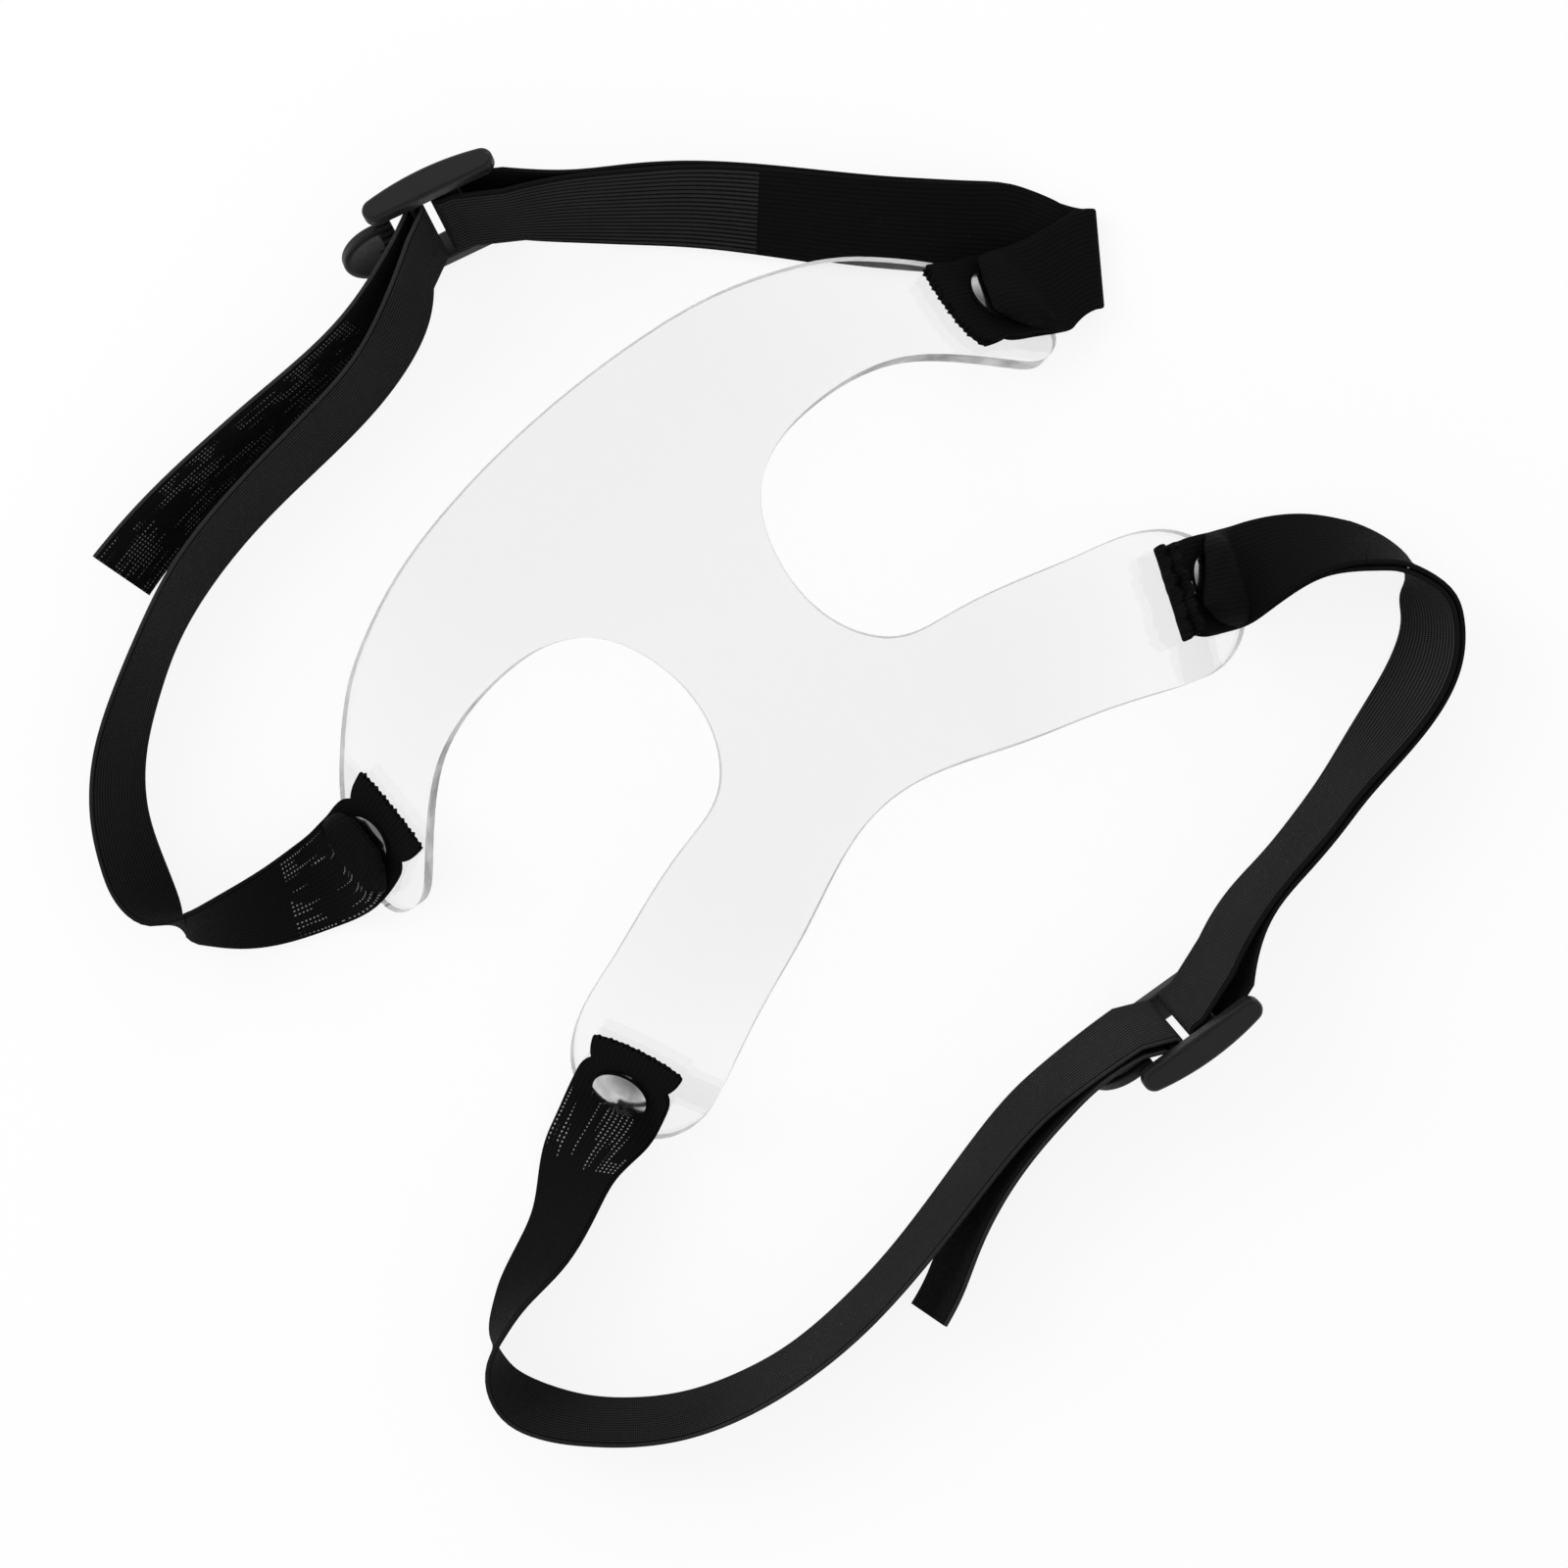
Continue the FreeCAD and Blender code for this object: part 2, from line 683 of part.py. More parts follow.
def railSolid():
    """Side rail: straight inner edge, round ends and a back that swells in one arc."""
    end = rail_end_radius
    half_run = rail_half_length - end
    swell = rail_depth - end
    back_radius = (half_run ** 2 + swell ** 2 - end ** 2) / (2 * (swell - end))
    lean = math.asin(half_run / (back_radius - end))
    right = FreeCAD.Vector(half_run, 0, end - rail_back)
    tangent = right + FreeCAD.Vector(math.sin(lean), 0, math.cos(lean)) * end
    side = right + FreeCAD.Vector(math.cos(lean), 0, -math.sin(lean)) * end
    foot = right - FreeCAD.Vector(0, 0, end)
    top = FreeCAD.Vector(0, 0, rail_depth - rail_back)

    def mirrored(point):
        return FreeCAD.Vector(-point.x, 0, point.z)

    edges = [
        Part.makeLine(mirrored(foot), foot),
        Part.Arc(foot, side, tangent).toShape(),
        Part.Arc(tangent, top, mirrored(tangent)).toShape(),
        Part.Arc(mirrored(tangent), mirrored(side), mirrored(foot)).toShape(),
    ]
    solid = Part.Face(Part.Wire(edges)).extrude(FreeCAD.Vector(0, rail_thickness, 0))
    rounded = 0.25 * rail_thickness
    return solid.makeFillet(rounded, [e for e in solid.Edges if e.BoundBox.YLength < fit_clearance])


def barSolid(left, across):
    """Cross bar with rounded long edges."""
    length = 2 * rail_inner + rail_thickness
    corner = FreeCAD.Vector(left, -0.5 * length, 0)
    bar = Part.makeBox(across, length, bar_height, corner)
    rounded = 0.3 * min(across, bar_height)
    return bar.makeFillet(rounded, [e for e in bar.Edges if e.BoundBox.YLength > across])


def gripTeeth():
    """Row of ribs along the grip bar's inner face."""
    pitch = 2 * rail_inner / tooth_count
    teeth = []
    for i in range(tooth_count):
        y = -rail_inner + (i + 0.5 * (1 - tooth_share)) * pitch
        corner = FreeCAD.Vector(grip_bar_left, y, -tooth_depth)
        teeth.append(Part.makeBox(grip_bar_width, tooth_share * pitch, 2 * tooth_depth, corner))
    return teeth


def thumbTab():
    """Tongue beyond the rails with a dished inner face."""
    half = 0.5 * tab_width
    low = bar_height - tab_thickness
    straight = FreeCAD.Vector(half - tab_reach, 0, low)
    corner = straight - FreeCAD.Vector(0, half, 0)
    root = grip_bar_left + 0.5 * grip_bar_width
    box = Part.makeBox(root - straight.x, tab_width, tab_thickness, corner)
    end = Part.makeBox(half, tab_width, tab_thickness, corner - FreeCAD.Vector(half, 0, 0))
    tongue = box.fuse(end.common(Part.makeCylinder(half, tab_thickness, straight))).removeSplitter()
    rounded = 0.3 * tab_thickness
    tongue = tongue.makeFillet(rounded, [e for e in tongue.Edges if e.BoundBox.ZLength < fit_clearance
                                         and e.BoundBox.XMin < root - fit_clearance])
    dish_radius = half - tab_rim
    ball = (dish_radius ** 2 + tab_dish_depth ** 2) / (2 * tab_dish_depth)
    return tongue.cut(Part.makeSphere(ball, straight + FreeCAD.Vector(0, 0, tab_dish_depth - ball)))


def ladderBuckle(frame):
    """Two rails, three cross bars and the thumb tab in one moulding."""
    rail = railSolid()
    near = rail.translated(FreeCAD.Vector(0, rail_inner, 0))
    far = rail.translated(FreeCAD.Vector(0, -rail_outer, 0))
    pieces = [far]
    pieces.append(barSolid(fixed_bar_start, fixed_bar_width))
    pieces.append(barSolid(middle_bar_left, middle_bar_width))
    pieces.append(barSolid(grip_bar_left, grip_bar_width))
    pieces.extend(gripTeeth())
    pieces.append(thumbTab())
    return placed(near.fuse(pieces), frame)


def buildAll():
    os.makedirs("parts", exist_ok=True)
    upper = buckleFrame(upper_buckle_heading, upper_buckle_lean, upper_buckle_place_share,
                        temple_rivet_x, temple_rivet_y, upper_reach, 1)
    lower = buckleFrame(lower_buckle_heading, lower_buckle_lean, lower_buckle_place_share,
                        cheek_rivet_x, cheek_rivet_y, -lower_reach, -1)
    inboard = (-strap_end_inboard, -0.5 * strap_end_inboard, 0.0)
    ends = inboard + (0.5 * strap_end_outboard, strap_end_outboard)
    cheek_ends = inboard + (0.5 * cheek_end_outboard, cheek_end_outboard)
    nodes = {"face_plate": facePlate()}
    for place, (x, y, plies) in rivetPlaces().items():
        nodes[place + "_rivet_cap"] = rivetCap(x, y, plies)
        nodes[place + "_rivet_post"] = rivetPost(x, y, plies)

    x, y = temple_rivet_x, temple_rivet_y
    ribbon = plateStations(-x, y, upper_adjust_headings, ends, 1)
    ribbon += routeStations(upper_adjust_descent_share, x, y, upper_reach, 1, plateHeight(x, y))
    ribbon += routeStations(upper_adjust_route_share, x, y, upper_reach, 1)
    tail = routeStations(upper_tail_route_share, x, y, upper_reach, 1)
    nodes["upper_adjust_strap"] = adjustStrap(ribbon, tail, adjustBend(upper, upper_load_angle), -x, y)
    ribbon = plateStations(x, y, upper_fixed_headings, ends, 2)
    ribbon += routeStations(upper_fixed_over_route_share, x, y, upper_reach, 2, fold_height)
    ribbon += foldStations(1)
    under = list(reversed(foldStations(-1)))
    under += routeStations(upper_fixed_return_route_share, x, y, upper_reach, 2)
    nodes["upper_fixed_strap"] = fixedStrap([ribbon, under], fixedLoop(upper, upper_fixed_angle), x, y)

    x, y = cheek_rivet_x, cheek_rivet_y
    ribbon = plateStations(-x, y, lower_adjust_headings, cheek_ends, 1)
    ribbon += routeStations(lower_adjust_descent_share, x, y, -lower_reach, 1, plateHeight(x, y))
    ribbon += routeStations(lower_adjust_route_share, x, y, -lower_reach, 1)
    tail = routeStations(lower_tail_route_share, x, y, -lower_reach, 1)
    nodes["lower_adjust_strap"] = adjustStrap(ribbon, tail, adjustBend(lower, lower_load_angle), -x, y)
    ribbon = plateStations(x, y, lower_fixed_headings, cheek_ends, 2)
    ribbon += routeStations(lower_fixed_descent_share, x, y, -lower_reach, 2, plateHeight(x, y))
    ribbon += routeStations(lower_fixed_route_share, x, y, -lower_reach, 2)
    nodes["lower_fixed_strap"] = fixedStrap([ribbon], fixedLoop(lower, lower_fixed_angle), x, y)

    nodes["upper_buckle"] = ladderBuckle(upper)
    nodes["lower_buckle"] = ladderBuckle(lower)
    for name, shape in nodes.items():
        box = shape.BoundBox
        print(name, "solids", len(shape.Solids), "valid", shape.isValid(), "volume %.0f" % shape.Volume,
              "x %.1f %.1f y %.1f %.1f z %.2f %.1f" % (box.XMin, box.XMax, box.YMin, box.YMax,
                                                       box.ZMin, box.ZMax))
        shape.exportStep("parts/" + name + ".step")


buildAll()
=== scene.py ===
import bpy
import bmesh
import json
import math
import numpy as np
from mathutils import Matrix, Vector


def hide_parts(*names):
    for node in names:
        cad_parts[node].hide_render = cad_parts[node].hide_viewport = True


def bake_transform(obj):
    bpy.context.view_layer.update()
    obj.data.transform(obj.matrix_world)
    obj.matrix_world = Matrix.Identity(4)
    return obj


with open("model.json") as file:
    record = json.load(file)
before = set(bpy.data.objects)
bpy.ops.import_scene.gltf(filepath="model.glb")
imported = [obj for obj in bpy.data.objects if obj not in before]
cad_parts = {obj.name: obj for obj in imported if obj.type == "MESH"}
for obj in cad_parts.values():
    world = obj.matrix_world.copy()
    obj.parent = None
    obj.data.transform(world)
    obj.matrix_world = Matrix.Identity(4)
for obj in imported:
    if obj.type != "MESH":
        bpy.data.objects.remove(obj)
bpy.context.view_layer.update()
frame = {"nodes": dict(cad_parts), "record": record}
print("frame loaded, nodes:", len(frame["nodes"]))

mm = 0.001                                     # tables below are in millimetres


class Signal:
    # a shader socket that can be used in a plain expression
    def __init__(self, finish, socket):
        self.finish = finish
        self.socket = socket

    def out(self, name):
        return Signal(self.finish, self.socket.node.outputs[name])

    def math(self, operation, first, second=None):
        values = {0: first} if second is None else {0: first, 1: second}
        return self.finish.node("ShaderNodeMath", {"operation": operation}, values)

    def __add__(self, other):
        return self.math("ADD", self, other)

    def __radd__(self, other):
        return self.math("ADD", other, self)

    def __sub__(self, other):
        return self.math("SUBTRACT", self, other)

    def __rsub__(self, other):
        return self.math("SUBTRACT", other, self)

    def __mul__(self, other):
        return self.math("MULTIPLY", self, other)

    def __rmul__(self, other):
        return self.math("MULTIPLY", other, self)

    def __gt__(self, other):
        return self.math("GREATER_THAN", self, other)

    def sine(self):
        return self.math("SINE", self)

    def root(self):
        return self.math("SQRT", self)

    def absolute(self):
        return self.math("ABSOLUTE", self)

    def larger(self, other):
        return self.math("MAXIMUM", self, other)


class Finish:
    # one material and the nodes that are added to it
    def __init__(self, name):
        self.material = bpy.data.materials.new(name)
        self.material.use_nodes = True
        self.tree = self.material.node_tree
        self.tree.nodes.clear()

    def node(self, kind, settings=None, sockets=None):
        made = self.tree.nodes.new(kind)
        for name, value in (settings or {}).items():
            setattr(made, name, value)
        for name, value in (sockets or {}).items():
            if isinstance(value, Signal):
                self.tree.links.new(value.socket, made.inputs[name])
            else:
                made.inputs[name].default_value = value
        return Signal(self, next(s for s in made.outputs if s.enabled)) if made.outputs else None

    def objectPlace(self):
        return self.node("ShaderNodeTexCoord").out("Object")

    def noise(self, scale, detail, place=None):
        return self.node("ShaderNodeTexNoise", None,
                         {"Vector": place or self.objectPlace(), "Scale": scale,
                          "Detail": detail}).out("Fac")

    def blendColour(self, factor, first, second):
        mixed = self.node("ShaderNodeMix", {"data_type": "RGBA"},
                          {0: factor, 6: first, 7: second})
        return mixed.out(2)

    def remap(self, value, low, high, newLow, newHigh):
        return self.node("ShaderNodeMapRange", {"clamp": True},
                         {"Value": value, "From Min": low, "From Max": high,
                          "To Min": newLow, "To Max": newHigh})

    def bump(self, height, strength, distance):
        return self.node("ShaderNodeBump", None,
                         {"Height": height, "Strength": strength, "Distance": distance})

    def surface(self, sockets):
        return self.node("ShaderNodeBsdfPrincipled", None, sockets)

    def finish(self, shader):
        self.node("ShaderNodeOutputMaterial", None, {"Surface": shader})
        return self.material


def grey(value):
    return (value, value, value, 1)


clearLook = {
    "tint": 0.949, "roughness": 0.01, "ior": 1.49, "shade": 0.93,
    "bend": 0.128, "wallReflectionPaint": 0.62, "reflectionStreaks": (0.45, 0.92), "edgeRoughness": 0.3,
    "hazeScale": 38, "rippleScale": 9, "reflectionStreakScale": 150,
}


def clearPlateFinish():
    f = Finish("clearPlate")
    haze = f.noise(clearLook["hazeScale"], 4)
    rough = f.remap(haze, 0.35, 0.75, clearLook["roughness"], 3 * clearLook["roughness"])
    ripple = f.noise(clearLook["rippleScale"], 2)
    glass = f.surface({"Base Color": grey(clearLook["tint"]), "Roughness": rough,
                       "IOR": clearLook["ior"], "Transmission Weight": 1.0,
                       "Normal": f.bump(ripple, 0.03, 0.002)})
    # the cut edges, the faces square to the bent sheet, are polished; their grey bands are painted
    # reflection, an opaque streaked grey standing in for what the walls mirror and refract
    place = f.node("ShaderNodeSeparateXYZ", None, {0: f.objectPlace()}).out("X")
    place = place * (1 / clearLook["bend"])
    normal = f.node("ShaderNodeNewGeometry").out("Normal")
    normal = f.node("ShaderNodeSeparateXYZ", None, {0: normal})
    facing = normal.out("X") * place + normal.out("Z") * (1.0 - place * place).root()
    edge = f.remap(facing.absolute(), 0.45, 0.65, clearLook["wallReflectionPaint"], 0.0)
    reflectionStreaks = f.remap(f.noise(clearLook["reflectionStreakScale"], 3), 0.35, 0.65, *clearLook["reflectionStreaks"])
    # painted reflection: light and dark grey streaks in the colour of the cut walls
    paintedWall = f.surface({"Base Color": f.blendColour(reflectionStreaks, grey(0.0), grey(1.0)),
                      "Roughness": clearLook["edgeRoughness"], "IOR": clearLook["ior"]})
    sheet = f.node("ShaderNodeMixShader", None, {0: edge, 1: glass, 2: paintedWall})
    passing = f.node("ShaderNodeBsdfTransparent", None, {"Color": grey(clearLook["shade"])})
    shadowRay = f.node("ShaderNodeLightPath").out("Is Shadow Ray")
    return f.finish(f.node("ShaderNodeMixShader", None, {0: shadowRay, 1: sheet, 2: passing}))


# pitches in millimetres, places along the ribbon in metres from its cut end
clothLook = {
    "ribPitch": 1.1, "coursePitch": 0.45, "patchScale": 30, "threadScale": 1100,
    "endFrom": 0.045, "endTo": 0.140, "specular": 0.025, "sheen": 0.01, "sheenTint": 0.6,
    "bumpDepth": 0.0003,
}
# each face's factor for the painted shade that darkens its colour near the rivets
knitLook = {"dark": 0.0020, "light": 0.0370, "bump": 0.35, "shadeNearEnd": 0.16}
plainLook = {"dark": 0.0042, "light": 0.0088, "bump": 0.28, "shadeNearEnd": 0.45}
dotLook = {
    "pitch": 1.15, "spacing": 0.9, "shade": 0.24, "zones": ((0.0165, 0.036), (0.272, 0.400)),
    "rowShare": 0.55, "stepShare": 0.3, "streakAlong": 70.0, "streakAcross": 870.0,
    "patchScale": 110, "patchWeight": 0.9, "bareAbove": 0.99,
}


def elasticFinish(name, look, dotted):
    f = Finish(name)
    place = f.node("ShaderNodeUVMap", {"uv_map": "ribbon"})
    place = f.node("ShaderNodeSeparateXYZ", None, {0: place})
    along, across = place.out("X"), place.out("Y")
    ribs = (across * (2 * math.pi / (clothLook["ribPitch"] * mm)) + math.pi / 2).sine()
    courses = (along * (2 * math.pi / (clothLook["coursePitch"] * mm)) + ribs * 0.8).sine()
    patches = f.noise(clothLook["patchScale"], 2)
    threads = f.noise(clothLook["threadScale"], 2)
    valleys = f.remap(ribs, -1.0, 0.1, 0.0, 1.0)
    knots = f.remap(courses, -1.0, 1.0, 0.3, 1.0)
    height = valleys * (0.6 + 0.4 * knots) + 0.3 * threads
    # painted sheen and shade on top of the knit's own pattern: the rib tops are lighter and the
    # grooves darker in colour
    tone = f.remap(valleys * knots + patches * 0.45 + threads * 0.25, 0.45, 1.30, 0.0, 1.0)
    # painted shade: the ribbon's colour is darker near the rivets, where it faces up and catches
    # more light
    tone = tone * f.remap(along, clothLook["endFrom"], clothLook["endTo"], look["shadeNearEnd"], 1.0)
    colour = f.blendColour(tone, grey(look["dark"]), grey(look["light"]))
    if dotted:
        # pin holes between the threads where the cloth is stretched: the pale table shows through
        rows = (across * (2 * math.pi / (dotLook["pitch"] * mm))).sine() > dotLook["rowShare"]
        steps = (along * (2 * math.pi / (dotLook["spacing"] * mm))).sine() > dotLook["stepShare"]
        zones = 0.0
        for low, high in dotLook["zones"]:
            zones = (along > low) * (1.0 - (along > high)) + zones
        grid = f.node("ShaderNodeCombineXYZ", None, {"X": along * dotLook["streakAlong"],
                                                     "Y": across * dotLook["streakAcross"]})
        patch = dotLook["patchWeight"] * f.noise(dotLook["patchScale"], 1)
        bare = f.noise(1.0, 1, grid) + patch > dotLook["bareAbove"]
        colour = f.blendColour(rows * steps * zones * bare, colour, grey(dotLook["shade"]))
    cloth = f.surface({"Base Color": colour, "Roughness": f.remap(threads, 0.3, 0.7, 0.7, 0.9),
                       "Specular IOR Level": clothLook["specular"],
                       "Sheen Weight": clothLook["sheen"], "Sheen Roughness": 0.5,
                       "Sheen Tint": grey(clothLook["sheenTint"]),
                       "Normal": f.bump(height, look["bump"], clothLook["bumpDepth"])})
    return f.finish(cloth)


buckleLook = {
    "dark": 0.006, "light": 0.010, "worn": 0.05, "specular": 0.35,
    "grainScale": 1400, "flowScale": 60, "bump": 0.14, "bumpDepth": 0.0001,
}


def buckleFinish():
    f = Finish("mouldedBlack")
    grain = f.noise(buckleLook["grainScale"], 3)
    flow = f.noise(buckleLook["flowScale"], 3)
    edge = f.node("ShaderNodeNewGeometry").out("Pointiness")
    wear = f.remap(edge, 0.52, 0.60, 0.0, 1.0) * f.remap(flow, 0.45, 0.65, 0.0, 1.0)
    base = f.blendColour(flow, grey(buckleLook["dark"]), grey(buckleLook["light"]))
    colour = f.blendColour(wear, base, grey(buckleLook["worn"]))
    plastic = f.surface({"Base Color": colour, "Roughness": f.remap(grain, 0.3, 0.7, 0.38, 0.55),
                         "Specular IOR Level": buckleLook["specular"],
                         "Normal": f.bump(grain, buckleLook["bump"], buckleLook["bumpDepth"])})
    return f.finish(plastic)


metalLook = {
    "shade": 0.58, "dull": 0.36, "stainScale": 260, "scratchScale": 1500,
    "bump": 0.06, "bumpDepth": 0.0001,
}


def rivetFinish():
    f = Finish("rivetNickel")
    stain = f.noise(metalLook["stainScale"], 4)
    scratch = f.noise(metalLook["scratchScale"], 2)
    stained = f.remap(stain, 0.35, 0.7, 0.0, 1.0)
    colour = f.blendColour(stained, grey(metalLook["shade"]), grey(metalLook["dull"]))
    metal = f.surface({"Base Color": colour, "Metallic": 1.0,
                       "Roughness": f.remap(stain, 0.3, 0.75, 0.10, 0.24),
                       "Normal": f.bump(scratch, metalLook["bump"], metalLook["bumpDepth"])})
    return f.finish(metal)


knitFace = elasticFinish("elasticKnit", knitLook, False)
plainFace = elasticFinish("elasticPlain", plainLook, False)
dottedFace = elasticFinish("elasticDotted", plainLook, True)
finishes = {
    "clear_plate": clearPlateFinish(),
    "elastic_strap": knitFace,
    "buckle_plastic": buckleFinish(),
    "rivet_metal": rivetFinish(),
}
slotOf = {row["node"]: row["material_slot"] for row in frame["record"]["subparts"]}
for name, node in frame["nodes"].items():
    for slot in node.material_slots:
        slot.material = finishes[slotOf[name]]
print("finishes made:", len(finishes))


# the plate's form, which the ribbons lie on
plate = {
    "bendRadius": 128.0, "bridge": 48.895, "slope": 0.12,
    "drop": 2.44, "dropStart": 5.0, "dropReach": 20.0, "dropSide": 82.0,
}
temple = (88.7, 31.0)
cheek = (82.3, -45.7)
seat = 0.3                                     # gap under and over the ribbon at a rivet


def plateHeight(x, y):
    bend = plate["bendRadius"] - math.sqrt(plate["bendRadius"] ** 2 - x * x)
    low = max(0.0, -y - plate["dropStart"]) / plate["dropReach"]
    drop = plate["drop"] * low ** 2 * (x / plate["dropSide"]) ** 2
    return plate["bridge"] - bend - plate["slope"] * y - drop


def plateTangent(x, y, heading):
    dx = 0.1 * math.cos(math.radians(heading))
    dy = 0.1 * math.sin(math.radians(heading))
    rise = plateHeight(x + dx, y + dy) - plateHeight(x - dx, y - dy)
    return Vector((2 * dx, 2 * dy, rise)).normalized()


def plateNormal(x, y):
    return plateTangent(x, y, 0).cross(plateTangent(x, y, 90)).normalized()


ribbon = {
    "width": 22.0, "thickness": 1.2, "plyGap": 0.3, "foot": 0.3, "step": 1.4,
    "rivetAt": 8.5, "shankHole": 2.45, "holeRows": 36, "flatUntil": 20.0,
    "flare": 3.2, "ease": 1.8, "smoothAngle": 60,
}


def leanVector(heading, lean):
    a, b = math.radians(heading), math.radians(lean)
    return Vector((math.cos(a) * math.cos(b), math.sin(a) * math.cos(b), math.sin(b)))


def stackHeight(plies):
    return 2 * seat + plies * ribbon["thickness"] + (plies - 1) * ribbon["plyGap"]


def onPlate(rivet, heading, across, distances, plies):
    x, y = rivet
    stations = []
    for d in distances:
        px = x + d * math.cos(math.radians(heading))
        py = y + d * math.sin(math.radians(heading))
        normal = plateNormal(px, py)
        centre = Vector((px, py, plateHeight(px, py))) + normal * (0.5 * stackHeight(plies))
        stations.append((centre, plateTangent(px, py, across), normal))
    return stations


def onTable(rows, plies):
    # each row: x, y, lift of the lower edge, heading and lean across the ribbon
    stack = plies * ribbon["thickness"] + (plies - 1) * ribbon["plyGap"]
    stations = []
    for x, y, lift, heading, lean in rows:
        along = leanVector(heading, lean)
        half = 0.5 * ribbon["width"] * along.z + 0.5 * stack * math.cos(math.radians(lean))
        stations.append((Vector((x, y, ribbon["foot"] + lift + half)), along, None))
    return stations


def withFaces(stations):
    # the outward side of each station, kept on one face of the ribbon
    done = []
    last = len(stations) - 1
    for i, (centre, along, face) in enumerate(stations):
        if face is None:
            run = stations[min(i + 1, last)][0] - stations[max(i - 1, 0)][0]
            face = along.cross(run).normalized()
            if done and face.dot(done[-1][2]) < 0:
                face = -face
        done.append((centre, along, face))
    return done


def curveThrough(values, lengths, spots):
    # smooth cubic through rows of values at given lengths
    y = np.array(values, float)
    t = np.array(lengths, float)
    n = len(t)
    h = np.diff(t)
    d = np.diff(y, axis=0) / h[:, None]
    matrix = np.zeros((n, n))
    right = np.zeros_like(y)
    matrix[0, 0] = matrix[-1, -1] = 1
    right[0] = ((2 * h[0] + h[1]) * d[0] - h[0] * d[1]) / (h[0] + h[1])
    right[-1] = ((2 * h[-1] + h[-2]) * d[-1] - h[-1] * d[-2]) / (h[-1] + h[-2])
    for i in range(1, n - 1):
        matrix[i, i - 1], matrix[i, i], matrix[i, i + 1] = h[i], 2 * (h[i - 1] + h[i]), h[i - 1]
        right[i] = 3 * (h[i] * d[i - 1] + h[i - 1] * d[i])
    slope = np.linalg.solve(matrix, right)
    found = []
    for s in spots:
        i = min(max(int(np.searchsorted(t, s, side="right")) - 1, 0), n - 2)
        u = (s - t[i]) / h[i]
        found.append((1 + 2 * u) * (1 - u) ** 2 * y[i] + u * (1 - u) ** 2 * h[i] * slope[i]
                     + u * u * (3 - 2 * u) * y[i + 1] + u * u * (u - 1) * h[i] * slope[i + 1])
    return np.array(found)


def ply(stations, shifts):
    # close-set sections of one ply: middle, direction across and outward side
    middles, lengths = [], []
    for (centre, along, face), shift in zip(stations, shifts):
        middle = centre + face * shift
        lengths.append(lengths[-1] + (middle - middles[-1]).length if middles else 0.0)
        middles.append(middle)
    spots = [0.0]
    for a, b in zip(lengths, lengths[1:]):
        count = max(1, round((b - a) / ribbon["step"]))
        spots.extend(a + (b - a) * (k + 1) / count for k in range(count))
    table = [list(m) + list(s[1]) + list(s[2]) for m, s in zip(middles, stations)]
    dense = curveThrough(table, lengths, spots)
    return [(Vector(r[:3]), Vector(r[3:6]).normalized(), Vector(r[6:9]).normalized())
            for r in dense]


def roundedPath(points, radius):
    # close-set points and their side vectors along corner points whose corners are rounded
    found = []
    for i, p in enumerate(points):
        p = Vector(p)
        if i in (0, len(points) - 1):
            other = Vector(points[1] if i == 0 else points[-2])
            run = (other - p) if i == 0 else (p - other)
            run.normalize()
            found.append((p, Vector((-run.y, run.x))))
            continue
        before = (p - Vector(points[i - 1])).normalized()
        after = (Vector(points[i + 1]) - p).normalized()
        turn = math.copysign(1.0, before.x * after.y - before.y * after.x)
        angle = before.angle(after)
        start = p - before * (radius * math.tan(0.5 * angle))
        centre = start + Vector((-before.y, before.x)) * (turn * radius)
        steps = max(2, int(angle / math.radians(15)))
        for k in range(steps + 1):
            a = turn * angle * k / steps
            spoke = start - centre
            spoke = Vector((spoke.x * math.cos(a) - spoke.y * math.sin(a),
                            spoke.x * math.sin(a) + spoke.y * math.cos(a)))
            found.append((centre + spoke, -spoke.normalized() * turn))
    return found


def inBuckle(buckle, path, radius):
    # a path drawn in the buckle's rail and outward directions, as ribbon sections
    origin, u, along, w = buckle
    return [(origin + u * p.x + w * p.y, along, u * s.x + w * s.y)
            for p, s in roundedPath(path, radius)]


class Course:
    # a ribbon's line: middle, direction across, outward side and direction of run at any length
    def __init__(self, sections):
        self.table = np.array([[*c, *a, *f] for c, a, f in sections])
        gaps = np.linalg.norm(np.diff(self.table[:, :3], axis=0), axis=1)
        self.lengths = np.concatenate(([0.0], np.cumsum(gaps)))
        self.total = float(self.lengths[-1])

    def rows(self, lengths):
        columns = [np.interp(lengths, self.lengths, column) for column in self.table.T]
        return np.stack(columns, axis=1)

    def at(self, lengths):
        asked = np.ravel(lengths)
        inside = np.clip(asked, 0.0, self.total)
        here = self.rows(inside)
        ahead = self.rows(np.clip(inside + 0.3, 0.0, self.total))
        behind = self.rows(np.clip(inside - 0.3, 0.0, self.total))
        run = ahead[:, :3] - behind[:, :3]
        run /= np.linalg.norm(run, axis=1)[:, None]
        middle = here[:, :3] + run * (asked - inside)[:, None]
        return middle, here[:, 3:6], here[:, 6:9], run

    def firstBeyond(self, axis, distance):
        # length at which the line first passes that distance from the middle
        return float(self.lengths[np.argmax(np.abs(self.table[:, axis]) > distance)])


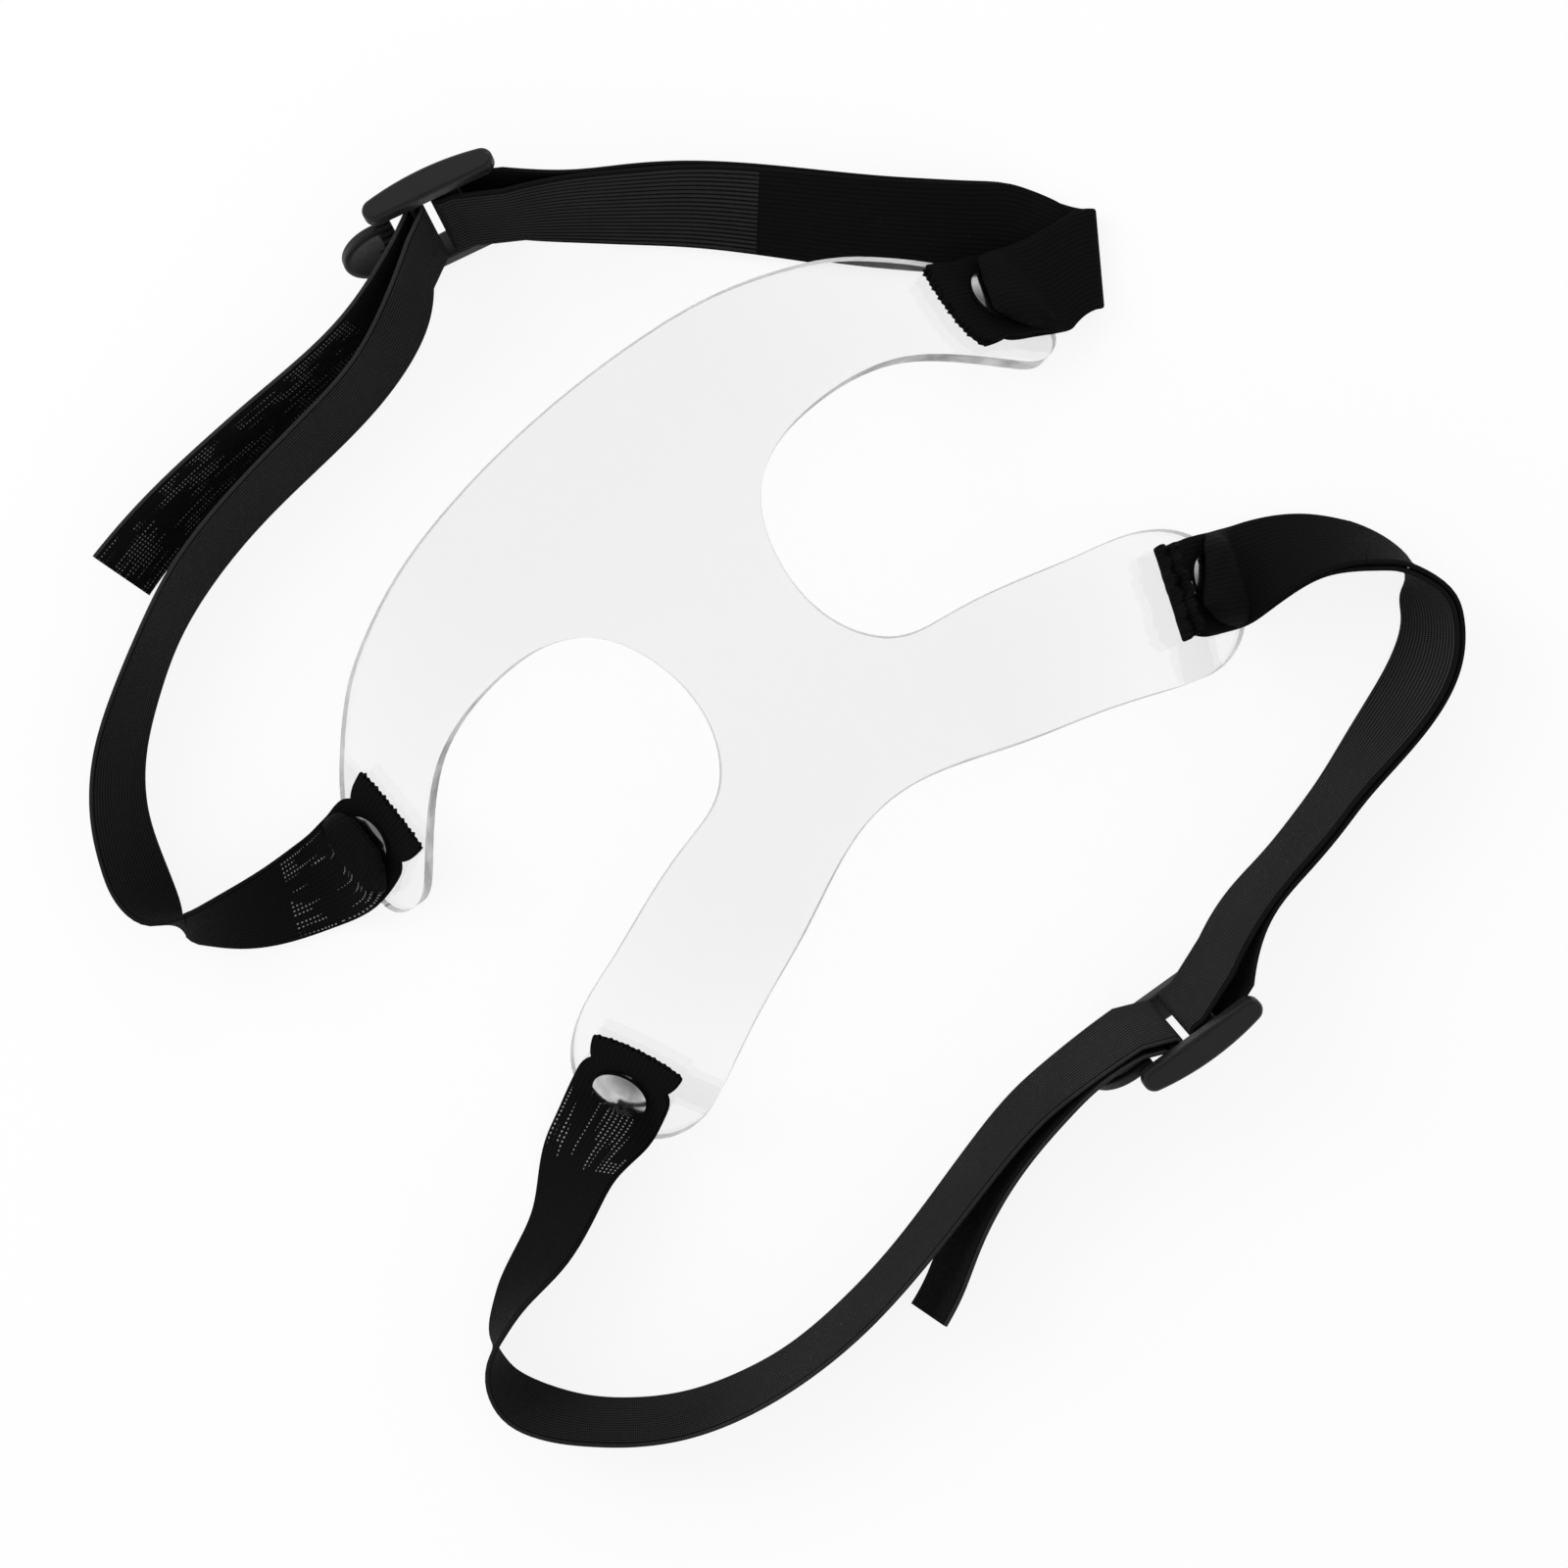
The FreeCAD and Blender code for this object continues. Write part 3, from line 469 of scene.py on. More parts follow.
class Ring:
    # one cross-section: place across and height off the middle, up one face and down the other
    def __init__(self, columns):
        half, edge = 0.5 * ribbon["width"], 0.5 * ribbon["thickness"]
        spots = []
        for side in (1, -1):
            for k in range(columns + 1):
                spot = -half + edge + 2 * (half - edge) * k / columns
                spots.append((side * spot, side * edge))
            for k in (1, 2, 3):
                a = math.pi * k / 4
                spots.append((side * (half - edge + edge * math.sin(a)), side * edge * math.cos(a)))
        self.columns = columns
        self.size = len(spots)
        self.across = np.array(spots)[:, 0]
        self.out = np.array(spots)[:, 1]
        self.side = np.clip(np.abs(self.across) / half, 0, 1)

    def cutEdge(self, depth):
        # how far the cut end reaches out at each place across: teeth of uneven depth
        v = self.across + 0.5 * ribbon["width"]
        tooth = np.abs((v / 1.3) % 1.0 - 0.5) * 2
        return depth * tooth * (0.7 + 0.3 * np.sin(1.9 * v)) * (self.side < 0.99)


fine = Ring(68)
coarse = Ring(22)


def plainRows(ring, first, last, step):
    count = max(1, round((last - first) / step))
    ones = np.ones(ring.size)
    return [(ones * (first + (last - first) * k / count), 0 * ones) for k in range(count + 1)]


def courseRows(ring, course, first, last):
    # rows at the course's own sections, so that the tight bends keep theirs
    inner = course.lengths[(course.lengths > first + 0.1) & (course.lengths < last - 0.1)]
    ones = np.ones(ring.size)
    return [(ones * s, 0 * ones) for s in (first, *inner, last)]


def flapRows(ring, end):
    # from the cut end to just short of the rivet's cap
    rows = []
    if "stand" in end:
        # the flap is bent up at the cap and stands on edge, a little wavy
        foot, height = end["stand"]
        wave = 0.5 * np.sin(0.62 * ring.across + 1.3 * foot) + 0.15 * np.sin(2.1 * ring.across)
        for k in range(12):
            t = k / 11
            rise = height * (1 - 0.3 * ring.side ** 5) + 0.45 * np.sin(1.7 * ring.across)
            rise = rise * (1 - t)
            rise += ring.cutEdge(0.6) * (1 - t) ** 4
            back = foot + 0.9 * (1 - math.sqrt(1 - t * t))
            back = back + wave * math.sin(math.pi * (1 - t) * 0.6)
            rows.append((back + 0 * ring.across, rise))
        return rows
    # one corner of the cut end may be rounded off
    corner = end.get("round", 0.0) * np.clip(-ring.across / 11.0, 0, 1) ** 4
    bow = end["bow"] * (1 - ring.side ** 2) - corner
    teeth = ring.cutEdge(end["teeth"])
    for k in range(13):
        s = 0.5 * k
        fade = max(0.0, 1 - s / 3.0)
        curl = end["curl"] * ring.side ** 4 * max(0.0, 1 - s / 6.0)
        rows.append((s - fade * (bow + teeth), curl))
    return rows


hoodForm = {
    "start": 15.6, "end": 27.0, "rows": 54, "half": 10.8, "wrinkle": 0.18,
    "smoothAbove": 5.6, "smoothAfter": 3, "smoothRows": 60, "smoothTurns": 24,
}


def hoodRows(ring, hood):
    # ribbon gathered by the rivet: up outside the cap, back over it to the lip, and out again
    start, stop = hoodForm["start"], hoodForm["end"]
    lip = hood["lip"] + hood["skew"] * np.clip(ring.across, -6, 6)
    top = hood["top"]
    # place along and height, where None is a place set by the lip
    points = [(start, 0.0), (16.4, 1.3), (15.2, 2.9), (None, 4.1), (None, 4.5), (None, 5.0),
              (None, 5.5), (None, top), (15.5, 0.95 * top), (19.5, 0.62 * top),
              (23.0, 0.22 * top), (stop, 0.0)]
    shifts = {3: 4.0, 4: 0.9, 5: 0.0, 6: 0.9, 7: 4.2}
    lengths, total = [0.0], 0.0
    plain = [(lip.mean() + shifts[i] if r is None else r, h) for i, (r, h) in enumerate(points)]
    for a, b in zip(plain, plain[1:]):
        total += math.dist(a, b)
        lengths.append(total)
    spots = np.linspace(0, total, hoodForm["rows"])
    reach = np.array([lip + shifts[i] if r is None else 0 * lip + r
                      for i, (r, h) in enumerate(points)])
    lift = np.array([[h] for r, h in points]) + 0 * lip
    reach = curveThrough(reach, lengths, spots)
    lift = curveThrough(lift, lengths, spots)
    share = np.clip(1 - (np.abs(ring.across) / hoodForm["half"]) ** 5, 0, 1)
    flat = np.linspace(start, stop, len(spots))[:, None]
    wrinkle = hoodForm["wrinkle"] * np.sin(0.8 * ring.across + 0.5 * reach)
    wrinkle = wrinkle * np.clip(lift / top, 0, 1)
    return [(flat[i] + share * (reach[i] - flat[i]), share * (lift[i] + wrinkle[i]))
            for i in range(1, len(spots))]


def startRows(ring, course, end, last):
    # flap, flat part round the rivet, hood if the end has one, and the run to the last row
    rows = flapRows(ring, end)
    first = float(rows[-1][0].mean())
    beyond = hoodForm["start"] if "hood" in end else ribbon["flatUntil"]
    rows += plainRows(ring, first, beyond, 0.5)[1:]
    if "hood" in end:
        rows += hoodRows(ring, end["hood"])
        beyond = hoodForm["end"]
    return rows + courseRows(ring, course, beyond, last)[1:]


def gathered(reach, end):
    # width factor along the ribbon: pinched beside the rivet, flared towards the cut end
    if end is None:
        return np.ones_like(reach)
    gap = reach - end["notch"]
    fall = np.where(gap < 0, np.exp(gap / ribbon["flare"]), np.exp(-gap / ribbon["ease"]))
    return 1 - end["pinch"] * fall


def removedCells(ring, reach, end):
    # cells that the rivet's shank passes through
    if end is None:
        return set()
    found = set()
    for i in range(ribbon["holeRows"]):
        for k in range(ring.columns):
            r = 0.25 * (reach[i][k] + reach[i][k + 1] + reach[i + 1][k] + reach[i + 1][k + 1])
            v = 0.5 * (ring.across[k] + ring.across[k + 1])
            if math.hypot(r - ribbon["rivetAt"], v) < ribbon["shankHole"]:
                found.add((i, k))
    return found


def ribbonFaces(ring, count, holes):
    # quads of both faces and edges, walls round the shank's hole, and the two cut ends
    columns, size = ring.columns, ring.size

    def top(i, k):
        return i * size + k

    def low(i, k):
        return i * size + 2 * columns + 4 - k

    faces, sides = [], []
    for i in range(count - 1):
        for j in range(size):
            k = j if j < columns else 2 * columns + 3 - j
            onFace = j < columns or columns + 4 <= j < 2 * columns + 4
            if onFace and (i, k) in holes:
                continue
            a, b = i * size + j, i * size + (j + 1) % size
            faces.append((a, b, b + size, a + size))
            sides.append(0 if j < columns else 1)
    for i, k in holes:
        ways = (((i - 1, k), (i, k), (i, k + 1)), ((i + 1, k), (i + 1, k + 1), (i + 1, k)),
                ((i, k - 1), (i + 1, k), (i, k)), ((i, k + 1), (i, k + 1), (i + 1, k + 1)))
        for beside, a, b in ways:
            if beside not in holes:
                faces.append((top(*a), low(*a), low(*b), top(*b)))
                sides.append(1)
    for i in (0, count - 1):
        for k in range(columns):
            faces.append((top(i, k), low(i, k), low(i, k + 1), top(i, k + 1)))
            sides.append(1)
        right = [i * size + j for j in range(columns, columns + 5)]
        left = [i * size + j % size for j in range(2 * columns + 4, 2 * columns + 9)]
        faces.extend((tuple(right), tuple(left)))
        sides.extend((1, 1))
    return faces, sides


def smoothed(sheet, first, last):
    # the cloth over the cap runs on without a crease into the free ribbon
    for turn in range(hoodForm["smoothTurns"]):
        between = 0.5 * (sheet[first - 1:last - 1] + sheet[first + 1:last + 1])
        sheet[first:last] += 0.5 * (between - sheet[first:last])
    return sheet


def ribbonPiece(name, course, rows, ring, end, looks):
    # looks: the finish of the outward face, then of all the rest
    reach = np.array([r for r, h in rows])
    lift = np.array([h for r, h in rows])
    middle, across, out, run = course.at(reach)
    wide = (ring.across * gathered(reach, end)).ravel()[:, None]
    goes = np.stack((np.gradient(reach, axis=0).ravel(), np.gradient(lift, axis=0).ravel()), axis=1)
    goes /= np.linalg.norm(goes, axis=1)[:, None]
    normal = out * goes[:, :1] - run * goes[:, 1:]
    sheet = middle + across * wide + out * lift.ravel()[:, None]
    if end and "hood" in end:
        first = int(np.argmax(lift[:, ring.columns // 2] > hoodForm["smoothAbove"]))
        first += hoodForm["smoothAfter"]
        last = min(first + hoodForm["smoothRows"], len(rows) - 3)
        sheet = smoothed(sheet.reshape(len(rows), ring.size, 3), first, last)
        goes = np.gradient(sheet, axis=0).reshape(-1, 3)
        square = np.cross(across, goes)
        facing = np.sign(np.sum(square * normal, axis=1))
        square *= (facing / np.linalg.norm(square, axis=1))[:, None]
        late = np.repeat(np.arange(len(rows)) >= first, ring.size)[:, None]
        normal = np.where(late, square, normal)
        sheet = sheet.reshape(-1, 3)
    depth = np.tile(ring.out, len(rows))[:, None]
    spots = sheet + normal * depth
    # a flap that stands on edge goes on by its height
    along = np.where(reach < 4, reach - lift, reach) if end else reach
    faces, sides = ribbonFaces(ring, len(rows), removedCells(ring, reach, end))
    mesh = bpy.data.meshes.new(name)
    mesh.from_pydata((spots * mm).tolist(), [], faces)
    for look in looks:
        mesh.materials.append(look)
    layer = mesh.uv_layers.new(name="ribbon")
    flat = along.ravel()
    for poly, side in zip(mesh.polygons, sides):
        poly.use_smooth = True
        poly.material_index = side
        for corner in poly.loop_indices:
            vertex = mesh.loops[corner].vertex_index
            layer.data[corner].uv = (flat[vertex] * mm, ring.across[vertex % ring.size] * mm)
    shell = bmesh.new()
    shell.from_mesh(mesh)
    bmesh.ops.recalc_face_normals(shell, faces=shell.faces)
    shell.to_mesh(mesh)
    shell.free()
    mesh.set_sharp_from_angle(angle=math.radians(ribbon["smoothAngle"]))
    piece = bpy.data.objects.new(name, mesh)
    bpy.context.scene.collection.objects.link(piece)
    return piece


def declare(piece, node, length):
    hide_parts(node)
    length * mm
    print(piece.name, "flat length", round(length, 1))


buckleForm = {
    "railBack": 0.7, "railDepth": 6.8, "railOuter": 14.9, "foot": 0.5, "barHeight": 2.4,
    "fixedBar": (0.6, 6.0), "middleBar": (-6.0, -4.2), "fixedLeave": 14.0, "loadLeave": 8.0,
    "loopRadius": 1.6, "bendRadius": 1.0,
}


def buckleFrame(heading, lean, x, y, side):
    # origin on the rails' middle, and the directions along, across and out of the buckle
    u = leanVector(heading, 0)
    level = Vector((-u.y, u.x, 0)) * side
    b = math.radians(lean)
    up = Vector((0, 0, 1))
    w = level * math.sin(b) - up * math.cos(b)
    along = level * math.cos(b) + up * math.sin(b)
    z = buckleForm["foot"] + buckleForm["railOuter"] * math.sin(b)
    z += (buckleForm["railDepth"] - buckleForm["railBack"]) * math.cos(b)
    return Vector((x, y, z)), u, along, w


def fixedLoop(buckle, angle):
    # ribbon round the fixed bar, the station where its plies run on, and how far they part there
    off = 0.5 * ribbon["thickness"] + ribbon["plyGap"]
    low, high = -off, buckleForm["barHeight"] + off
    left = buckleForm["fixedBar"][0] - off
    turnLow = 0.5 * sum(buckleForm["fixedBar"])
    turnHigh = buckleForm["fixedBar"][1] + off
    cosine, sine = math.cos(math.radians(angle)), math.sin(math.radians(angle))
    inner = (buckleForm["fixedLeave"], low - (buckleForm["fixedLeave"] - turnLow) * sine / cosine)
    spread = 0.5 * ((high - low) + (turnHigh - turnLow) * sine / cosine) * cosine
    outer = (inner[0] + 2 * spread * sine, inner[1] + 2 * spread * cosine)
    path = [outer, (turnHigh, high), (left, high), (left, low), (turnLow, low), inner]
    origin, u, along, w = buckle
    middle = origin + u * (0.5 * (inner[0] + outer[0])) + w * (0.5 * (inner[1] + outer[1]))
    station = (middle, along, u * sine + w * cosine)
    return inBuckle(buckle, path, buckleForm["loopRadius"]), station, spread


def adjustBend(buckle, angle):
    # ribbon over the middle bar, with the stations of its load and tail plies
    off = 0.5 * ribbon["thickness"] + ribbon["plyGap"]
    cosine, sine = math.cos(math.radians(angle)), math.sin(math.radians(angle))
    high = buckleForm["barHeight"] + off
    right = buckleForm["middleBar"][1] + off
    left = buckleForm["middleBar"][0] - off
    leave = buckleForm["loadLeave"]
    loadEnd = (right - leave * cosine, -off - leave * sine)
    toTail = (left - loadEnd[0], -loadEnd[1])
    gap = -toTail[0] * sine + toTail[1] * cosine
    tailEnd = (loadEnd[0] - gap * sine, loadEnd[1] + gap * cosine)
    path = [loadEnd, (right, -off), (right, high), (left, high), (left, 0.0), tailEnd]
    origin, u, along, w = buckle
    face = w * cosine - u * sine
    load = (origin + u * loadEnd[0] + w * loadEnd[1], along, face)
    tail = (origin + u * tailEnd[0] + w * tailEnd[1], along, face)
    return inBuckle(buckle, path, buckleForm["bendRadius"]), load, tail


upperBuckle = buckleFrame(-15.5, 67.0, 11.176, 119.998, 1)
lowerBuckle = buckleFrame(-5.2, 67.0, 18.271, -111.99, -1)


# left ribbons: one ply from the rivet, over the middle bar, and back as the tail

upperLeft = {
    "headings": (188.0, 88.0), "ends": (-8.5, -4.25, 0.0, 2.1, 4.2), "loadAngle": 44.0,
    "route": [
        (-96.8, 30.1, 5.2, 84, 5), (-101.0, 30.5, 1.7, 76, 17), (-106.5, 31.8, 0, 66, 27),
        (-114.0, 33.6, 0, 56, 37), (-121.0, 36.3, 0, 48, 48), (-127.0, 39.6, 0, 40, 61),
        (-131.3, 43.0, 0, 24, 75), (-133.6, 46.8, 0, 160, 80), (-134.0, 52.0, 0, 152, 65),
        (-131.6, 60.1, 0, 140, 60), (-126.5, 70.5, 0, 139, 65), (-118.5, 79.8, 0, 140, 69),
        (-107.0, 87.8, 0, 141, 72), (-94.6, 94.3, 0, 130, 75), (-81.4, 99.3, 0, 118, 73),
        (-60.0, 103.2, 0, 111, 71), (-38.0, 104.8, 0, 108, 69), (-22.7, 106.5, 1.7, 110, 69),
        (-11.4, 109.8, 4.7, 112, 68),
    ],
    "tail": [
        (-92.2, 109.7, 0, 100, 58), (-74.8, 112.6, 0, 101, 62), (-60.0, 113.6, 0, 102, 64),
        (-44.0, 114.0, 0, 103, 66), (-27.2, 114.2, 0.7, 106, 68), (-14.0, 115.3, 3.7, 108, 68),
    ],
}
lowerLeft = {
    "headings": (203.0, -67.0), "ends": (-8.5, -4.25, 0.0, 2.5, 5.0), "loadAngle": 24.0,
    "route": [
        (-91.8, -49.5, 4.7, -64, 14), (-97.0, -51.0, 2.7, -56, 25), (-103.0, -53.6, 0.9, -43, 38),
        (-109.5, -57.4, 0, -34, 46), (-116.8, -60.6, 0, -31, 47), (-124.8, -63.2, 0, -29, 52),
        (-132.5, -65.4, 0, -22, 66), (-138.6, -68.4, 0, -8, 77), (-142.3, -71.8, 0, 100, 87),
        (-144.3, -75.8, 0, 170, 79), (-144.6, -81.0, 0, -163, 71), (-141.8, -87.7, 0, -140, 68),
        (-136.0, -95.2, 0, -127, 70), (-128.4, -102.2, 0, -122, 71), (-118.4, -108.6, 0, -111, 72),
        (-106.7, -113.0, 0, -94, 73), (-94.0, -115.5, 0, -80, 74), (-79.1, -116.0, 0, -68, 73),
        (-64.0, -114.6, 0, -61, 73), (-47.4, -111.6, 0, -58, 72), (-31.0, -108.2, 0.2, -64, 71),
        (-18.0, -106.3, 2.2, -76, 70), (-8.0, -106.2, 4.5, -84, 69),
    ],
    "tail": [
        (-65.1, -126.5, 0, -60, 72), (-59.0, -124.2, 0, -56, 72), (-50.0, -119.5, 0, -55, 72),
        (-38.5, -114.6, 0, -58, 72), (-26.0, -111.0, 1.2, -68, 71), (-15.0, -109.0, 3.2, -78, 70),
        (-6.0, -108.0, 5.2, -84, 69),
    ],
}


def adjustRibbon(spec, rivet, buckle):
    # sections of a left ribbon from its cut end at the rivet to the tail's end
    bend, load, tail = adjustBend(buckle, spec["loadAngle"])
    x, y = rivet
    stations = onPlate((-x, y), spec["headings"][0], spec["headings"][1], spec["ends"], 1)
    stations = withFaces(stations + onTable(spec["route"], 1) + [load])
    leadIn = ply(stations, [0.0] * len(stations))
    tailRun = withFaces([tail] + list(reversed(onTable(spec["tail"], 1))))
    tailRun = [(c, a, -f) for c, a, f in tailRun]
    free = ply(tailRun, [0.0] * len(tailRun))
    flip = 1 if bend[0][2].dot(leadIn[-1][2]) > 0 else -1
    bend = [(c, a, f * flip) for c, a, f in bend]
    return leadIn + bend[1:-1] + free


def doubledRibbon(spec, rivet, buckle):
    # sections of a right ribbon: out along one ply, round the fixed bar, and back along the other
    loop, station, spread = fixedLoop(buckle, spec["fixedAngle"])
    close = 0.5 * (ribbon["thickness"] + ribbon["plyGap"])
    first = onPlate(rivet, spec["headings"][0], spec["headings"][1], spec["ends"], 2)
    sides = []
    for side in (1, -1):
        if "fold" in spec:
            fold = spec["fold"]
            centre = Vector(fold["centre"])
            along = leanVector(fold["heading"], 0)
            out = Vector((along.y, -along.x, 0))
            up = Vector((0, 0, 1))
            top = [(centre + up * fold["radius"] - out * fold["radius"], along, up),
                   (centre + up * fold["radius"], along, up)]
            below = [(centre - up * fold["radius"], along, -up),
                     (centre - up * fold["radius"] - out * fold["radius"], along, -up)]
            run = withFaces(first + onTable(spec["over"], 2) + top)
            sections = ply(run, [side * close] * len(run))
            reach = fold["radius"] + side * close
            for k in range(1, 12):
                a = math.pi * k / 12
                spoke = up * math.cos(a) + out * math.sin(a)
                sections.append((centre + spoke * reach, along, spoke))
            run = withFaces(below + onTable(spec["route"], 2) + [station])
        else:
            sections = []
            run = withFaces(first + onTable(spec["route"], 2) + [station])
        sections += ply(run, [side * close] * (len(run) - 1) + [side * spread])
        sides.append(sections)
    flip = 1 if loop[0][2].dot(sides[0][-1][2]) > 0 else -1
    loop = [(c, a, f * flip) for c, a, f in loop]
    back = [(c, a, -f) for c, a, f in reversed(sides[1])]
    return sides[0] + loop[1:-1] + back


# right ribbons: doubled from the rivet, round the buckle's fixed bar

upperRight = {
    "headings": (-25.0, 84.0), "ends": (-8.5, -4.25, 0.0, 2.1, 4.2), "fixedAngle": 22.0,
    "over": [(97.8, 27.2, 4.8, 82, 1), (102.0, 25.5, 4.0, 75, 2), (107.2, 25.1, 3.3, 62, 1)],
    "fold": {"centre": (112.74, 23.81, 3.5), "heading": 54.0, "radius": 1.8},
    "route": [
        (108.8, 29.0, 0, 50, 2), (105.0, 36.6, 0, 49, 3), (101.9, 40.6, 0, 47, 11),
        (98.4, 44.0, 0, 46, 21), (90.7, 51.5, 0, 46, 29), (83.0, 59.2, 0, 46, 32),
        (68.4, 75.0, 0, 46, 38), (53.4, 90.3, 0, 47, 45), (43.6, 98.5, 0.3, 46, 51),
        (33.5, 106.2, 2.7, 48, 58),
    ],
}
lowerRight = {
    "headings": (-25.0, -114.0), "ends": (-8.5, -4.25, 0.0, 2.5, 5.0), "fixedAngle": 25.0,
    "route": [
        (91.5, -49.6, 4.2, -116, 16), (96.5, -50.8, 2.2, -119, 28), (102.0, -52.5, 0.7, -123, 40),
        (108.0, -55.4, 0, -129, 51), (113.7, -60.8, 0, -140, 62), (118.2, -67.3, 0, -158, 73),
        (120.0, -73.3, 0, 170, 84), (119.3, -78.5, 0, -46, 74), (116.7, -83.9, 0, -48, 66),
        (110.4, -89.7, 0, -56, 60), (99.0, -94.4, 0, -66, 59), (87.9, -97.0, 0, -72, 65),
        (77.4, -99.3, 0, -74, 71), (68.3, -101.3, 0, -73, 72), (57.9, -103.0, 0.2, -72, 73),
        (46.5, -104.5, 2.7, -78, 71),
    ],
}


def point(x, y=0.0, z=0.0):
    return (x * mm, y * mm, z * mm)


# the ends at the rivets: pinch beside the rivet, bow and teeth of the cut edge, hood over the cap
ends = {
    "leftTemple": {"notch": 7.5, "pinch": 0.20, "bow": 0.4, "curl": 0.3, "teeth": 0.9,
                   "hood": {"lip": 6.0, "skew": 0.0, "top": 5.6}},
    "rightTemple": {"notch": 7.5, "pinch": 0.07, "bow": 1.3, "curl": 0.0, "teeth": 1.1,
                    "round": 2.6, "hood": {"lip": 6.2, "skew": 0.34, "top": 5.8}},
    "rightTempleUnder": {"notch": 7.5, "pinch": 0.10, "bow": 0.9, "curl": 0.0, "teeth": 0.9,
                         "round": 2.0},
    "leftCheek": {"notch": 6.8, "pinch": 0.17, "bow": 1.3, "curl": 0.5, "teeth": 0.6},
    "rightCheek": {"notch": 4.8, "pinch": 0.16, "stand": (1.45, 3.9),
                   "hood": {"lip": 6.2, "skew": -0.5, "top": 5.8}},
    "rightCheekUnder": {"notch": 4.8, "pinch": 0.11, "stand": (0.1, 3.6)},
}


# where the free part of a ribbon passes from its loop to its buckle, along the buckle's direction
tiltFrom = {"left": -48, "right": 44}
tiltTo = {"left": -15, "right": 10}


def tiltBlend(run, buckle, hand):
    origin, u = buckle[0], buckle[1]
    point(*(origin + u * tiltFrom[hand]))
    point(*(origin + u * tiltTo[hand]))
    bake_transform(run)


def makeLeft(name, spec, rivet, buckle, end, tailFace, blendFrom, blendTo, node):
    course = Course(adjustRibbon(spec, rivet, buckle))
    cut = course.firstBeyond(0, abs(blendTo) + 1.0)
    lead = ribbonPiece(name + "_lead_ribbon", course, startRows(fine, course, end, cut), fine, end,
                       (dottedFace, knitFace))
    point(blendFrom)
    point(blendTo)
    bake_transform(lead)
    declare(lead, node, cut)
    rows = courseRows(coarse, course, cut, course.total)
    run = ribbonPiece(name + "_ribbon", course, rows, coarse, None, (tailFace, knitFace))
    tiltBlend(run, buckle, "left")
    declare(run, node, course.total - cut)


def makeRight(name, spec, rivet, buckle, outerEnd, innerEnd,
              blendFrom, blendTo, beyond, node):
    sections = doubledRibbon(spec, rivet, buckle)
    outer = Course(sections)
    inner = Course([(c, a, -f) for c, a, f in reversed(sections)])
    outerCut, innerCut = outer.firstBeyond(*beyond), inner.firstBeyond(*beyond)
    for course, cut, end, label in ((outer, outerCut, outerEnd, "outer"),
                                    (inner, innerCut, innerEnd, "inner")):
        rows = startRows(fine, course, end, cut)
        lead = ribbonPiece(name + "_lead_" + label, course, rows, fine, end, (plainFace, plainFace))
        point(*blendFrom)
        point(*blendTo)
        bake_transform(lead)
        declare(lead, node, cut)
    last = outer.total - innerCut
    rows = courseRows(coarse, outer, outerCut, last)
    run = ribbonPiece(name + "_ribbon", outer, rows, coarse, None, (knitFace, plainFace))
    tiltBlend(run, buckle, "right")
    declare(run, node, last - outerCut)


makeLeft("upper_left", upperLeft, temple, upperBuckle, ends["leftTemple"], dottedFace,
         -98.0, -130.0, "upper_adjust_strap")
makeLeft("lower_left", lowerLeft, cheek, lowerBuckle, ends["leftCheek"], plainFace,
         -91.0, -125.0, "lower_adjust_strap")
makeRight("upper_right", upperRight, temple, upperBuckle,
          ends["rightTemple"], ends["rightTempleUnder"],
          (0.0, 43.0, 0.0), (0.0, 76.0, 0.0), (1, 78.0), "upper_fixed_strap")
makeRight("lower_right", lowerRight, cheek, lowerBuckle,
          ends["rightCheek"], ends["rightCheekUnder"],
          (91.0, 0.0, 0.0), (115.0, 0.0, 0.0), (0, 115.5), "lower_fixed_strap")


stageLook = {
    "half": 3.0, "floor": 0.92, "cameraShare": 0.86,
    "world": 0.78, "zenith": 0.28, "domeFrom": 0.15, "domeTo": 0.78,
}


def makeStage():
    half = stageLook["half"]
    corners = [(-half, -half, 0), (half, -half, 0), (half, half, 0), (-half, half, 0)]
    mesh = bpy.data.meshes.new("floor")
    mesh.from_pydata(corners, [], [(0, 1, 2, 3)])
    floor = bpy.data.objects.new("floor", mesh)
    bpy.context.scene.collection.objects.link(floor)
    f = Finish("paleFloor")
    path = f.node("ShaderNodeLightPath")
    mirrored = path.out("Is Glossy Ray").larger(path.out("Is Transmission Ray"))
    seen = path.out("Is Camera Ray").larger(mirrored)
    matt = f.surface({"Base Color": grey(stageLook["floor"]), "Roughness": 0.9,
                      "Specular IOR Level": 0.1})
    white = f.node("ShaderNodeEmission", None, {"Color": grey(1.0), "Strength": 1.0})
    share = seen * stageLook["cameraShare"]
    shader = f.node("ShaderNodeMixShader", None, {0: share, 1: matt, 2: white})
    mesh.materials.append(f.finish(shader))


